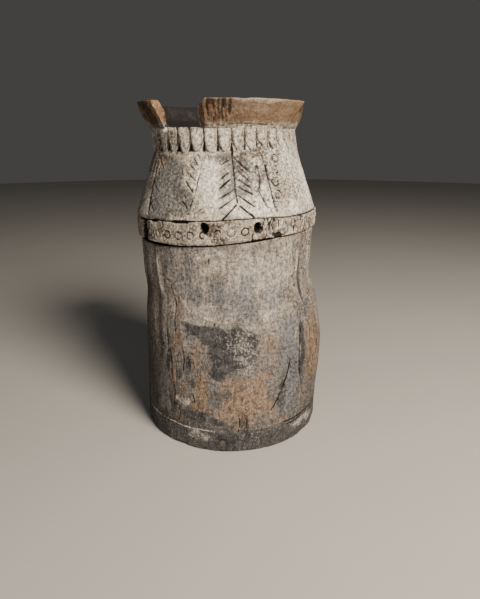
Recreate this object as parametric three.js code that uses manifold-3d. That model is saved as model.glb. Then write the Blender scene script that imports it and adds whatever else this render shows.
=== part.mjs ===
// A tall wooden vessel carved from a log in two sections. The shoulder section drops over a
// spigot on the body, a round board closes the foot, and wooden pegs hold both.
// Millimetres, +Z up. Azimuth 0 faces -Y, where the break in the rim is seen from, and
// azimuth 90 faces +X.
import * as THREE from 'three';
import { mergeVertices } from 'three/addons/utils/BufferGeometryUtils.js';
import Module from 'manifold-3d';

const wasm = await Module();
wasm.setup();

// Fits
const clearance = 0.3;

// Lower body, heights from the floor
const bodyHeight = 253.5;
const footRadius = 114.6;
const footEdge = 1.6;
const bellyHeight = 100;
const bellyRadius = 112.4;
const swellDepth = 94;
const swellRadius = 110.2;
const waistDepth = 58;
const waistRadius = 105.4;
const ledgeRadius = 107.8;
const ledgeChamfer = 1.4;
const footWall = 20.6;

// The log bulges to the right at the belly, and leans to the left above it
const bulgeOut = 6.6;
const bulgeHeight = 102;
const bulgeReach = 46;
const bulgeAngle = 48;
const leanLeft = 5.5;
const leanStart = 88;
const leanEnd = 48;

// Two incised lines round the foot
const footLineHeight = 27.6;
const footLineSpacing = 4.6;
const footLineWidth = 1.6;
const footLineDepth = 0.9;

// Lap joint: a spigot on the body inside a skirt on the shoulder
const jointTilt = 3.55;
const skirtWall = 11.4;
const spigotWall = 8;
const spigotHeight = 27;
const spigotEdge = 1.5;

// Shoulder section, heights from the joint
const bandHeight = 24.3;
const bandRadius = 110.2;
const bandStep = 0.9;
const bandLineTilt = 1.95;
const bandLineWidth = 2;
const bandLineDepth = 1.3;
const skirtChamfer = 1.2;
const shoulderRise = 95.7;
const shoulderMidRadius = 95.2;
const collarRadius = 83.6;
const creaseRadius = 85.4;
const neckWall = 10.6;
const rimHeight = 26.5;
const rimRadius = 102.9;
const rimWall = 10.4;
const rimEdge = 1.6;
const neckLean = 3.4;

// Collar of petals under the rim
const petalCount = 36;
const petalLength = 26;
const petalGap = 0.9;
const petalRadius = 87.2;
const petalBevel = 1.5;
const petalRoot = 7;
const petalPhase = -3.4;
const petalUnevenness = 8.6;

// Break in the rim, azimuths in degrees
const breakLeft = -46;
const breakRightFoot = -13.3;
const breakRightTop = -6.6;
const breakSplitDepth = 12;

// Wear on the lip: a flat on the right, and a dip on the left
const lipFlat = 13;
const lipDipAzimuth = -86;
const lipDipDepth = 12;
const lipDipRadius = 60;

// Wedge-shaped gap in the band at the left
const splitAzimuth = -56;
const splitTopWidth = 4.6;
const splitFootWidth = 9.5;

// Pegs through the band and through the foot wall
const bandPegRadius = 4.5;
const bandPegRise = 16.7;
const bandPegPlaces = 12;
const bandPegPhase = -11.4;
const emptyPlaces = [0, 1];
const bandPegInset = 0.4;
const basePegRadius = 4;
const basePegHeight = 11.5;
const basePegCount = 6;
const basePegPhase = -5;
const basePegDepth = 13;
const basePegInset = 0.3;

// Board in the foot, and the gum round it
const baseThickness = 16;
const baseRecess = 3;
const baseSeat = 5.5;
const baseChamfer = 1.2;
const sealSize = 5.5;

// Smoothness
const roundSteps = 46;
const pegSides = 12;

const crease = bandHeight + shoulderRise;
const socketRadius = bandRadius - skirtWall;
const spigotRadius = socketRadius - clearance;
const cavityTopRadius = spigotRadius - spigotWall;
const cavityFootRadius = footRadius - footWall;
const neckBoreRadius = collarRadius - neckWall;
const baseRadius = cavityFootRadius + baseSeat;

const wood = { color: 0x9b8f82, roughness: 0.92, metalness: 0 };
const rimWood = { color: 0xa59a8a, roughness: 0.9, metalness: 0 };
const boardWood = { color: 0x6f6154, roughness: 0.9, metalness: 0 };
const pegWood = { color: 0x5a4a3c, roughness: 0.85, metalness: 0 };
const gum = { color: 0x1f1a17, roughness: 0.6, metalness: 0 };

function radians(degrees) {
  return THREE.MathUtils.degToRad(degrees);
}

// A closed triangle mesh as a solid that can be cut and joined.
function toSolid(geometry) {
  const bare = geometry.clone();
  bare.deleteAttribute('normal');
  bare.deleteAttribute('uv');
  const merged = mergeVertices(bare, 1e-4);
  const corners = merged.index.array;
  const kept = [];
  for (let i = 0; i < corners.length; i += 3) {
    const [a, b, c] = [corners[i], corners[i + 1], corners[i + 2]];
    if (a !== b && b !== c && c !== a) kept.push(a, b, c);
  }
  return new wasm.Manifold(new wasm.Mesh({
    numProp: 3,
    vertProperties: merged.attributes.position.array,
    triVerts: new Uint32Array(kept),
  }));
}

function toGeometry(solid) {
  const mesh = solid.getMesh();
  const geometry = new THREE.BufferGeometry();
  geometry.setAttribute('position', new THREE.BufferAttribute(mesh.vertProperties, 3));
  geometry.setIndex(new THREE.BufferAttribute(mesh.triVerts, 1));
  geometry.computeVertexNormals();
  return geometry;
}

function named(name, geometry, finish) {
  const mesh = new THREE.Mesh(geometry, new THREE.MeshStandardMaterial(finish));
  mesh.name = name;
  return mesh;
}

// A turned form: [radius, height] points, taken up the outside, revolved about Z.
function turned(profile, steps = roundSteps) {
  const points = profile.map(([radius, height]) => new THREE.Vector2(radius, height));
  return new THREE.LatheGeometry(points, steps).rotateX(Math.PI / 2);
}

// A smooth outline through a few [radius, height] stations.
function flowing(stations, divisions) {
  const points = stations.map(([radius, height]) => new THREE.Vector2(radius, height));
  return new THREE.SplineCurve(points).getPoints(divisions).map((p) => [p.x, p.y]);
}

// A round rod that lies along a radius, from one distance from the axis to another.
function radialRod(radius, from, to, azimuth, height, sides = pegSides) {
  const rod = new THREE.CylinderGeometry(radius, radius, to - from, sides);
  return rod.translate(0, (from + to) / 2, 0)
    .rotateZ(Math.PI + radians(azimuth))
    .translate(0, 0, height);
}

function moveVertices(geometry, move) {
  const position = geometry.attributes.position;
  const point = new THREE.Vector3();
  for (let i = 0; i < position.count; i += 1) {
    move(point.fromBufferAttribute(position, i));
    position.setXYZ(i, point.x, point.y, point.z);
  }
  return geometry;
}

// How far the body's axis stands to the left of the foot's axis at a height.
function bodyLean(height) {
  const start = bodyHeight - leanStart;
  const end = bodyHeight - leanEnd;
  return -leanLeft * THREE.MathUtils.smoothstep(height, start, end);
}

// How far the right side of the log bulges at an azimuth and a height.
function bulge(azimuth, height) {
  const turn = (azimuth - 90) / bulgeAngle;
  const climb = (height - bulgeHeight) / bulgeReach;
  return bulgeOut * Math.exp(-turn * turn - climb * climb);
}

function leanBody(geometry) {
  return moveVertices(geometry, (p) => { p.x += bodyLean(p.z); });
}

function swellBody(geometry) {
  return moveVertices(geometry, (p) => {
    const azimuth = THREE.MathUtils.radToDeg(Math.atan2(p.x, -p.y));
    const distance = Math.hypot(p.x, p.y);
    if (distance < 1) return;
    const grown = (distance + bulge(azimuth, p.z)) / distance;
    p.x *= grown;
    p.y *= grown;
  });
}

// The neck and rim stand a little to the left of the band.
function neckShift(height) {
  return -neckLean * THREE.MathUtils.smoothstep(height, crease - petalLength, crease);
}

function leanNeck(geometry) {
  return moveVertices(geometry, (p) => { p.x += neckShift(p.z); });
}

// A flat ring with a V section, cut out to make an incised line.
function lineCutter(radius, width, depth, height) {
  const beyond = 3;
  const spread = (width / 2) * (1 + beyond / depth);
  return turned([
    [radius - depth, height],
    [radius + beyond, height - spread],
    [radius + beyond, height + spread],
    [radius - depth, height],
  ]);
}

function bodyOutline() {
  const stations = [
    [footRadius, footEdge],
    [bellyRadius, bellyHeight],
    [swellRadius, bodyHeight - swellDepth],
    [waistRadius, bodyHeight - waistDepth],
    [ledgeRadius, bodyHeight + bandHeight / 2],
  ];
  return flowing(stations, 12);
}

function logBlank() {
  const side = bodyOutline();
  const top = side[side.length - 1][1];
  const profile = [[0, 0], [footRadius - footEdge, 0], ...side, [0, top]];
  return toSolid(leanBody(swellBody(turned(profile))));
}

// Everything above the ledge that the skirt rests on, with the ledge's worn edge.
function aboveLedge() {
  const reach = footRadius + bulgeOut;
  const edge = ledgeRadius - ledgeChamfer;
  const cutter = turned([
    [0, 0],
    [edge, 0],
    [reach, edge - reach],
    [reach, bodyHeight],
    [0, bodyHeight],
  ]);
  cutter.rotateY(-radians(jointTilt)).translate(-leanLeft, 0, bodyHeight);
  return toSolid(cutter);
}

// The spigot starts inside the body, and ends above the skirt's inner ledge's height.
function spigot() {
  const root = bodyHeight - bandHeight;
  const tip = bodyHeight + spigotHeight;
  const profile = [
    [0, root], [spigotRadius, root], [spigotRadius, tip - spigotEdge],
    [spigotRadius - spigotEdge, tip], [0, tip],
  ];
  return toSolid(turned(profile).translate(-leanLeft, 0, 0));
}

function bodyCavity() {
  const floor = baseRecess + baseThickness / 2;
  const top = bodyHeight + spigotHeight + 5;
  const bends = 4;
  const profile = [[0, floor], [cavityFootRadius, floor]];
  for (let i = 0; i <= bends; i += 1) {
    const depth = THREE.MathUtils.lerp(leanStart, leanEnd, i / bends);
    const radius = THREE.MathUtils.lerp(cavityFootRadius, cavityTopRadius, i / bends);
    profile.push([radius, bodyHeight - depth]);
  }
  profile.push([cavityTopRadius, top], [0, top]);
  return toSolid(leanBody(turned(profile)));
}

function baseRebate() {
  const radius = baseRadius + clearance;
  const top = baseRecess + baseThickness + clearance;
  return toSolid(turned([[0, -5], [radius, -5], [radius, top], [0, top]]));
}

function bandPegAzimuth(place) {
  return bandPegPhase + (place * 360) / bandPegPlaces;
}

function basePegAzimuth(place) {
  return basePegPhase + (place * 360) / basePegCount;
}

function lowerBody() {
  let body = logBlank().subtract(aboveLedge()).add(spigot());
  body = body.subtract(bodyCavity()).subtract(baseRebate());
  for (const drop of [0, footLineSpacing]) {
    const line = lineCutter(footRadius, footLineWidth, footLineDepth, footLineHeight - drop);
    body = body.subtract(toSolid(swellBody(line)));
  }
  for (let place = 0; place < bandPegPlaces; place += 1) {
    const hole = radialRod(bandPegRadius + clearance, cavityTopRadius / 2, spigotRadius + 8,
      bandPegAzimuth(place), bodyHeight + bandPegRise);
    body = body.subtract(toSolid(hole.translate(-leanLeft, 0, 0)));
  }
  for (let place = 0; place < basePegCount; place += 1) {
    const hole = radialRod(basePegRadius + clearance, baseRadius / 2, footRadius + 12,
      basePegAzimuth(place), basePegHeight);
    body = body.subtract(toSolid(hole));
  }
  return named('lower_body', toGeometry(body), wood);
}

// Outside of the shoulder section, from below the joint up to the crease under the rim.
function shoulderOutline() {
  const band = [
    [bandRadius - skirtChamfer, -bandHeight / 2],
    [bandRadius, bandHeight * 0.3],
    [bandRadius, bandHeight],
  ];
  const slope = flowing([
    [bandRadius - bandStep, bandHeight],
    [shoulderMidRadius, bandHeight + shoulderRise * 0.43],
    [petalRadius - 1.6, crease - petalLength],
  ], 7);
  const collar = [[collarRadius, crease - petalLength / 2], [creaseRadius, crease]];
  return [...band, ...slope, ...collar];
}

// Inside of the shoulder section, from the rim down to the ledge over the spigot.
function shoulderBore() {
  const ledge = spigotHeight + clearance;
  const down = flowing([
    [rimRadius - rimWall, crease + rimHeight],
    [neckBoreRadius + 2, crease],
    [neckBoreRadius, crease - petalLength / 2],
    [neckBoreRadius + 6, crease - petalLength * 1.5],
    [cavityTopRadius - 4, spigotHeight + 24],
    [cavityTopRadius, ledge],
  ], 9);
  return [...down, [socketRadius, ledge], [socketRadius, -bandHeight / 2]];
}

function shoulderBlank() {
  const top = crease + rimHeight;
  const lip = [[rimRadius, top - rimEdge], [rimRadius - rimEdge, top]];
  const outside = [...shoulderOutline(), ...lip];
  const inside = shoulderBore();
  return toSolid(leanNeck(turned([...outside, ...inside, outside[0]])));
}

// One petal's azimuth: they are cut by eye, wider on the left than on the right.
function petalAzimuth(place) {
  const even = (place * 360) / petalCount;
  return petalPhase + even - petalUnevenness * (1 - Math.cos(radians(even)));
}

function petal(place) {
  const left = petalAzimuth(place);
  const right = petalAzimuth(place + 1);
  const half = (petalRadius * radians(right - left) - petalGap) / 2 - petalBevel;
  const top = petalLength * 0.46;
  const foot = -petalLength / 2 + petalBevel;
  const outline = new THREE.Shape();
  outline.moveTo(-half * 0.5, top);
  outline.quadraticCurveTo(-half, top - 1, -half, top * 0.3);
  outline.quadraticCurveTo(-half * 1.05, foot * 0.5, -half * 0.3, foot);
  outline.lineTo(half * 0.3, foot);
  outline.quadraticCurveTo(half * 1.05, foot * 0.5, half, top * 0.3);
  outline.quadraticCurveTo(half, top - 1, half * 0.5, top);
  outline.closePath();
  const tongue = new THREE.ExtrudeGeometry(outline, {
    depth: petalRoot, bevelThickness: petalBevel, bevelSize: petalBevel,
    bevelSegments: 1, curveSegments: 2,
  });
  tongue.rotateX(Math.PI / 2);
  tongue.translate(0, -(petalRadius - petalRoot - petalBevel), crease - petalLength / 2 - 1);
  tongue.rotateZ(radians((left + right) / 2));
  return toSolid(leanNeck(tongue));
}

// Everything below the tilted plane that the skirt stands on, with its worn lower edge.
function belowSkirt() {
  const reach = bandRadius + 8;
  const edge = bandRadius - skirtChamfer;
  const cutter = turned([
    [0, -2 * bandHeight],
    [reach, -2 * bandHeight],
    [reach, clearance + reach - edge],
    [edge, clearance],
    [0, clearance],
  ]);
  return toSolid(cutter.rotateY(-radians(jointTilt)));
}

function bandLine() {
  const line = lineCutter(bandRadius, bandLineWidth, bandLineDepth + bandStep, 0);
  return toSolid(line.rotateY(-radians(bandLineTilt)).translate(0, 0, bandHeight));
}

// The piece lost from the rim: a wedge with radial sides that ends at the crease.
function rimBreak() {
  const middle = (breakLeft + breakRightFoot) / 2;
  const across = (azimuth) => rimRadius * Math.tan(radians(azimuth - middle));
  const above = crease + rimHeight + 5;
  const outline = new THREE.Shape();
  outline.moveTo(across(breakLeft), above);
  outline.lineTo(across(breakLeft), crease - breakSplitDepth);
  outline.lineTo(across(breakLeft + 2.5), crease - 3);
  outline.lineTo(across(breakLeft + 12), crease - 2);
  outline.lineTo(across(breakRightFoot - 4), crease - 1);
  outline.lineTo(across(breakRightFoot), crease);
  outline.lineTo(across(breakRightTop), above);
  outline.closePath();
  const wedge = new THREE.ExtrudeGeometry(outline, {
    depth: rimRadius, bevelEnabled: false,
  });
  wedge.rotateX(Math.PI / 2).translate(0, -neckBoreRadius / 2, 0);
  moveVertices(wedge, (p) => { p.x *= -p.y / rimRadius; });
  return toSolid(wedge.rotateZ(radians(middle)).translate(-neckLean, 0, 0));
}

// The right lip is worn to a flat.
function lipWear() {
  const size = rimRadius * 2;
  const block = new THREE.BoxGeometry(size, size, size);
  block.translate(size / 2 + rimRadius - lipFlat - neckLean, 0, size / 2 + crease);
  return toSolid(block);
}

// The left lip is worn down in a long shallow dip.
function lipDip() {
  const height = crease + rimHeight - lipDipDepth + lipDipRadius;
  const dip = radialRod(lipDipRadius, neckBoreRadius / 2, rimRadius * 1.2, lipDipAzimuth,
    height, roundSteps);
  return toSolid(dip.translate(-neckLean, 0, 0));
}

// The wedge-shaped gap where the band has split open.
function bandSplit() {
  const top = bandHeight - 1.5;
  const foot = -bandHeight;
  const grow = (splitFootWidth - splitTopWidth) / 2;
  const outline = new THREE.Shape();
  outline.moveTo(-splitTopWidth / 2, top);
  outline.lineTo(-splitTopWidth / 2 - 2 * grow, foot);
  outline.lineTo(splitTopWidth / 2 + 2 * grow, foot);
  outline.lineTo(splitTopWidth / 2, top);
  outline.closePath();
  const depth = bandRadius - socketRadius;
  const wedge = new THREE.ExtrudeGeometry(outline, { depth: 3 * depth, bevelEnabled: false });
  wedge.rotateX(Math.PI / 2).translate(0, -(socketRadius - depth), 0);
  return toSolid(wedge.rotateZ(radians(splitAzimuth)));
}

function shoulderSection() {
  let shoulder = shoulderBlank();
  for (let place = 0; place < petalCount; place += 1) {
    shoulder = shoulder.add(petal(place));
  }
  for (let place = 0; place < bandPegPlaces; place += 1) {
    const hole = radialRod(bandPegRadius + clearance, cavityTopRadius / 2, bandRadius + 8,
      bandPegAzimuth(place), bandPegRise);
    shoulder = shoulder.subtract(toSolid(hole));
  }
  for (const cut of [belowSkirt(), bandLine(), rimBreak(), lipWear(), lipDip(), bandSplit()]) {
    shoulder = shoulder.subtract(cut);
  }
  return named('shoulder_section', toGeometry(shoulder), rimWood);
}

// A peg's head is at the outside: its mesh is turned to its azimuth.
function addPegs(group, name, finish, places, azimuthOf, size) {
  places.forEach((place, index) => {
    const rod = radialRod(size.radius, size.from, size.to, 0, 0);
    const peg = named(`${name}_${index + 1}`, rod, finish);
    peg.rotation.z = radians(azimuthOf(place));
    peg.position.z = size.height;
    group.add(peg);
  });
}

function basePegs(group) {
  const places = [...Array(basePegCount).keys()];
  addPegs(group, 'base_peg', pegWood, places, basePegAzimuth, {
    radius: basePegRadius,
    from: baseRadius - basePegDepth,
    to: footRadius - basePegInset,
    height: basePegHeight,
  });
}

function bandPegs(group) {
  const places = [...Array(bandPegPlaces).keys()].filter((place) => !emptyPlaces.includes(place));
  addPegs(group, 'band_peg', pegWood, places, bandPegAzimuth, {
    radius: bandPegRadius,
    from: cavityTopRadius + clearance,
    to: bandRadius - bandPegInset,
    height: bandPegRise,
  });
}

function baseDisc() {
  const low = baseRecess;
  const high = baseRecess + baseThickness;
  let disc = toSolid(turned([
    [0, low], [baseRadius - baseChamfer, low], [baseRadius, low + baseChamfer],
    [baseRadius, high], [0, high],
  ]));
  for (let place = 0; place < basePegCount; place += 1) {
    const hole = radialRod(basePegRadius + clearance, baseRadius - basePegDepth - clearance,
      footRadius, basePegAzimuth(place), basePegHeight);
    disc = disc.subtract(toSolid(hole));
  }
  return named('base_disc', toGeometry(disc), boardWood);
}

// Gum pressed into the corner between the board and the wall.
function baseSeal() {
  const floor = baseRecess + baseThickness + clearance;
  const wall = cavityFootRadius - clearance;
  const hollow = new THREE.EllipseCurve(
    wall - sealSize, floor + sealSize, sealSize * 0.8, sealSize * 0.8, -Math.PI / 2, 0);
  const face = hollow.getPoints(2).map((p) => [p.x, p.y]).reverse();
  const profile = [[wall, floor], [wall, floor + sealSize], ...face, [wall - sealSize, floor],
    [wall, floor]];
  return named('base_seal', turned(profile), gum);
}

const bodyGroup = new THREE.Group();
bodyGroup.add(lowerBody(), baseDisc(), baseSeal());
basePegs(bodyGroup);

const shoulderGroup = new THREE.Group();
shoulderGroup.position.set(-leanLeft, 0, bodyHeight);
shoulderGroup.add(shoulderSection());
bandPegs(shoulderGroup);

const jug = new THREE.Group();
jug.add(bodyGroup, shoulderGroup);

// The origin is under the middle of the whole vessel's outline, on the floor.
const extent = new THREE.Box3().setFromObject(jug);
const middle = extent.getCenter(new THREE.Vector3());
jug.position.set(-middle.x, -middle.y, -extent.min.z);
jug.updateMatrixWorld(true);

export default jug;
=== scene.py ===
"""Looks for a tall wooden vessel carved from a log in two sections.

The body, the pegged shoulder with its band, the collar of petals and the broken rim are
weathered wood. Sizes are in millimetres from the floor and azimuths in degrees: azimuth 0 faces
the camera and azimuth 90 the right side. The mesh is in metres.
"""
import math

import bmesh
import bpy
import numpy as np
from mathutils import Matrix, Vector


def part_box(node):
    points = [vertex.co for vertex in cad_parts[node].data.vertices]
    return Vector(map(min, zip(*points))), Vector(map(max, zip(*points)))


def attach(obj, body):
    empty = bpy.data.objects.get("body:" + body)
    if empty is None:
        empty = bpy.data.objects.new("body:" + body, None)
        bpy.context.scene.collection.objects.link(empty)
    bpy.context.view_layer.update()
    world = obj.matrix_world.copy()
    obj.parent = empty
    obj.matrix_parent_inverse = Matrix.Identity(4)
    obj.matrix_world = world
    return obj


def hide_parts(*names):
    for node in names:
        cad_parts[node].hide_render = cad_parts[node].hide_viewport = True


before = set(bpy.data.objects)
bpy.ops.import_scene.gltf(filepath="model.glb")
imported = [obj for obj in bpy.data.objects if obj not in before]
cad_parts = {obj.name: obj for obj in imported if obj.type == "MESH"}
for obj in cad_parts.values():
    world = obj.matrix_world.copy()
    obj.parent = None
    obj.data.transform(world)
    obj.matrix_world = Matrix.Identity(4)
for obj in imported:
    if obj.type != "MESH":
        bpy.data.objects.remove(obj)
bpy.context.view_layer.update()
board_low, board_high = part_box("base_disc")

MM = 0.001
FOOT_AXIS = (board_low.x + board_high.x) / 2 / MM

# Body, as the CAD has it. Stations are (radius, height)
BODY_HEIGHT = 253.5
FOOT_EDGE = 1.6
FOOT_RADIUS = 114.6
BODY_STATIONS = [(114.6, 1.6), (112.4, 100), (110.2, 159.5), (105.4, 195.5), (107.8, 265.65)]
BULGE_OUT, BULGE_HEIGHT, BULGE_REACH, BULGE_ANGLE = 6.6, 102, 46, 48
LEAN_LEFT, LEAN_FROM, LEAN_TO = 5.5, 165.5, 205.5
SPIGOT_RADIUS, SPIGOT_TOP, CAVITY_RADIUS, CAVITY_FOOT = 98.5, 280.5, 90.5, 94.0
REBATE_RADIUS, REBATE_TOP = 99.8, 19.3
JOINT_AXIS = FOOT_AXIS - LEAN_LEFT

# Shoulder section
BAND_RADIUS, SOCKET_RADIUS = 110.2, 98.8
CREASE, RIM_TOP = 373.5, 400.0
SLOPE_STATIONS = [(109.3, 277.8), (95.2, 318.95), (85.6, 347.5)]
NECK_STATIONS = [(83.6, 360.5), (84.3, 367), (86.3, 373), (86.3, 376)]
BORE_STATIONS = [(92.5, 400), (75, 373.5), (73, 360.5), (79, 334.5), (86.5, 304.5), (90.5, 280.8)]
NECK_LEAN, NECK_FROM, NECK_TO = 3.4, 347.5, 373.5
RIM_FLARE = [(85.2, 370.0), (86.8, 373.5), (89.8, 378.0), (102.9, 398.4), (103.6, 400.0)]
RIM_AXIS = JOINT_AXIS - NECK_LEAN
RIM_BOTTOM = CREASE - 2.2
PETALS, PETAL_PHASE, PETAL_UNEVEN, PETAL_GAP = 36, -3.4, 8.6, 0.9
PETAL_TOP, PETAL_LENGTH, PETAL_ROOT_RADIUS = 372.2, 25.5, 83.6

# The hand-cut lines over and under the band, as (azimuth, height) round the vessel
BAND_TOP_LINE = [(-90, 271.5), (-65, 272.3), (-40, 274.6), (-22, 276.2), (-8, 277.8), (3, 279.2),
                 (20, 280.2), (40, 279.2), (63, 279.4), (90, 280.6), (135, 281), (180, 278.5),
                 (225, 274.5)]
BAND_FOOT_LINE = [(-90, 247.4), (-65, 248.2), (-40, 248.6), (-27, 249.3), (-14, 250.9), (-2.5, 252.7),
                  (12, 255.1), (23, 257.0), (37, 258.4), (56, 259.6), (90, 260.2), (135, 258.6),
                  (180, 253.6), (225, 249)]
ROUNDEL_COUNT, ROUNDEL_RADIUS, ROUNDEL_RISE, FRONT_ROUNDEL = 46, 4.0, 11.6, 11.7
BAND_PEG_PHASE, BAND_PEG_STEP, BAND_PEG_RISE = -11.4, 30, 16.7
FOOT_PEG_PHASE, FOOT_PEG_STEP, FOOT_PEG_RISE = -5, 60, 11.5

# Band: empty peg holes as (azimuth, height, half width, half height), and the split on the left
HOLES = [(-11.3, 270.2, 4.8, 6.4), (19.1, 270.6, 4.7, 5.8)]
SPLIT_AZIMUTH, SPLIT_TOP_WIDTH, SPLIT_FOOT_WIDTH = -56, 5.4, 10.5

# The break in the rim: its left side's azimuth, and its right side as (height, azimuth)
BREAK_LEFT = -46.0
BREAK_RIGHT = [(371, -12.3), (376, -13.6), (384, -14.2), (393, -12.6), (397, -9.5), (400, -6.5)]

# Wear of the lip: how far right of the axis it is worn flat, and a round dip on the left whose
# centre stands above the lip
RIM_FLAT = 89.9
DIP_AZIMUTH, DIP_RADIUS, DIP_ABOVE = -86, 60, 48

# Walls as fine as 200,000 triangles a piece allow: columns round, and rows up the outside
BODY_COLUMNS, SHOULDER_COLUMNS, BAND_COLUMNS = 600, 760, 1150
FOOT_ROWS, BODY_ROWS, SHOULDER_ROWS, BAND_ROWS = 28, 107, 102, 56
RIM_STEPS = (640, 34, 9)
PETAL_STEPS = (14, 24)

# Depths in mm of what was cut or has worn away
CARVING_DEPTH, CARVING_BURR, PETAL_GROOVE = 2.6, 0.5, 1.9
ROUNDEL_DEPTH, ROUNDEL_DOME, NICK_DEPTH, HOLE_DEPTH = 1.4, 0.7, 1.1, 11.0
FOOT_LINE_DEPTH, FOOT_PEG_DEPTH, BAND_PEG_DEPTH = 1.6, 2.6, 3.0

# Radii in mm at which widths and noise on each part are measured
BODY_ROUND, SHOULDER_ROUND, PETAL_ROUND, RIM_ROUND = 112, 97, 86, 98

# Camera: place in mm, degrees down, lens and sensor in mm. Lamps point at a height in metres
CAMERA_AWAY, CAMERA_HEIGHT, CAMERA_ASIDE = 632.3, 362.8, 11.25
CAMERA_DOWN, CAMERA_LENS, SENSOR = 18.05, 30.05, 36
LAMP_AIM, FLOOR_RADIUS, FLOOR_CORNERS = 0.2, 4000, 64

# Nodes: sums on numbers, mixing of two colours, and noise drawn out along the log
MATHS, MIX, ALONG_THE_LOG = "ShaderNodeMath", {"data_type": "RGBA"}, (1, 1, 0.25)
ADD, TIMES, LESS, OVER, TIMES_ADD = ({"operation": word} for word in (
    "ADD", "MULTIPLY", "SUBTRACT", "DIVIDE", "MULTIPLY_ADD"))


# Numbers on the surface.
def smooth(low, high, x):
    t = np.clip((x - low) / (high - low), 0, 1)
    return t * t * (3 - 2 * t)


def turn(azimuth):
    """An angle brought between -180 and 180 degrees."""
    return (np.asarray(azimuth) + 180) % 360 - 180


def scatter(i, j, k, seed):
    """A repeatable number from -1 to 1 for each corner of a lattice."""
    h = (i * 73856093) ^ (j * 19349663) ^ (k * 83492791) ^ (seed * 40503 + 977)
    h = h & 0xFFFFFFFF
    h = ((h ^ (h >> 13)) * 1274126177) & 0xFFFFFFFF
    h = h ^ (h >> 16)
    return h / 2147483647.5 - 1


def clouds(point, size, seed, octaves=2):
    """Smooth noise at points in mm. size is the width of its lumps, or one for each axis."""
    total, weight = 0, 0
    for octave in range(octaves):
        q = point / (np.asarray(size, float) / 2 ** octave)
        corner = np.floor(q).astype(np.int64)
        f = q - corner
        f = f * f * (3 - 2 * f)
        value = 0
        for dx in (0, 1):
            for dy in (0, 1):
                for dz in (0, 1):
                    share = (np.abs(1 - dx - f[..., 0]) * np.abs(1 - dy - f[..., 1])
                             * np.abs(1 - dz - f[..., 2]))
                    value = value + share * scatter(corner[..., 0] + dx, corner[..., 1] + dy,
                                                    corner[..., 2] + dz, seed + octave * 17)
        total = total + value * 0.5 ** octave
        weight += 0.5 ** octave
    return total / weight


def place_round(axis, reach, azimuth, height):
    """Points in mm at a reach from an upright axis."""
    a = np.radians(azimuth)
    return np.stack([axis + reach * np.sin(a), -reach * np.cos(a), height + 0 * a], -1)


def round_point(azimuth, height, radius=100.0):
    """A point in mm on a plain cylinder, for noise that runs on round the vessel."""
    return place_round(0, radius, azimuth, height)


def spot(azimuth, height, at, half_width, half_height, soft=0.6):
    """1 inside an oval on the wall and 0 outside. Widths are in degrees, heights in mm."""
    away = np.hypot(turn(azimuth - at[0]) / half_width, (height - at[1]) / half_height)
    return smooth(1 + soft, 1 - soft, away)


def painted(azimuth, height, spots, seed, wander=5.0):
    """The strongest of several soft spots, with outlines that wander by a few mm."""
    p = round_point(azimuth, height)
    az = azimuth + clouds(p, 24, seed, 4) * wander * 0.9
    z = height + clouds(p, 24, seed + 5, 4) * wander * 1.6
    level = np.zeros_like(az)
    for at_azimuth, at_height, half_width, half_height, strength in spots:
        inside = spot(az, z, (at_azimuth, at_height), half_width, half_height, 0.45)
        level = np.maximum(level, (0.25 + 0.85 * strength) * inside)
    return level


def off_line(azimuth, height, points, radius):
    """Distance in mm on the wall from a line of (azimuth, height) points, and the way along."""
    per_degree = math.radians(1) * radius
    best = np.full(np.shape(azimuth), 1e3)
    along = np.zeros(np.shape(azimuth))
    for n, (start, end) in enumerate(zip(points, points[1:])):
        dx, dz = turn(end[0] - start[0]) * per_degree, end[1] - start[1]
        px, pz = turn(azimuth - start[0]) * per_degree, height - start[1]
        t = np.clip((px * dx + pz * dz) / (dx * dx + dz * dz), 0, 1)
        away = np.hypot(px - t * dx, pz - t * dz)
        nearer = away < best
        best = np.where(nearer, away, best)
        along = np.where(nearer, (n + t) / (len(points) - 1), along)
    return best, along


def cut(azimuth, height, points, radius, width, taper=0.0):
    """A V cut along a line: 1 at its bottom, 0 at its edges. taper narrows its ends."""
    away, along = off_line(azimuth, height, points, radius)
    half = width / 2 * (1 - taper * np.abs(2 * along - 1) ** 2)
    return np.clip(1 - away / np.maximum(half, 0.2), 0, 1)


def round_line(stations, azimuth):
    """The height of a hand-cut line round the vessel at an azimuth."""
    at, level = np.array(stations, float).T
    return np.interp(turn(azimuth), turn(at), level, period=360)


def flowing(stations, steps=40):
    """A smooth outline through (radius, height) stations, as the CAD draws it."""
    s = np.array([stations[0]] + list(stations) + [stations[-1]], float)
    out = []
    for n in range(len(stations) - 1):
        p0, p1, p2, p3 = s[n], s[n + 1], s[n + 2], s[n + 3]
        for t in np.linspace(0, 1, steps, endpoint=False):
            v0, v1 = (p2 - p0) / 2, (p3 - p1) / 2
            out.append((2 * p1 - 2 * p2 + v0 + v1) * t ** 3
                       + (-3 * p1 + 3 * p2 - 2 * v0 - v1) * t ** 2 + v0 * t + p1)
    out.append(s[-1])
    return np.array(out)


def outline_radius(outline, height):
    order = np.argsort(outline[:, 1])
    return np.interp(height, outline[order, 1], outline[order, 0])


BODY_OUTLINE = flowing(BODY_STATIONS)
SLOPE_OUTLINE = np.concatenate([flowing(SLOPE_STATIONS), NECK_STATIONS])
BORE_OUTLINE = flowing(BORE_STATIONS)


def band_top(azimuth):
    p = round_point(azimuth, 0 * azimuth)
    return round_line(BAND_TOP_LINE, azimuth) + clouds(p, 22, 3) * 0.5


def band_foot(azimuth):
    p = round_point(azimuth, 0 * azimuth)
    return round_line(BAND_FOOT_LINE, azimuth) + clouds(p, 18, 4) * 0.35


def joint_gap(azimuth):
    """Width in mm of the open joint under the band: widest on the left."""
    return 1.0 + 3.0 * spot(azimuth, 0, (-54, 0), 20, 1, 0.7) + 1.3 * spot(azimuth, 0, (21, 0), 8, 1)


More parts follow.
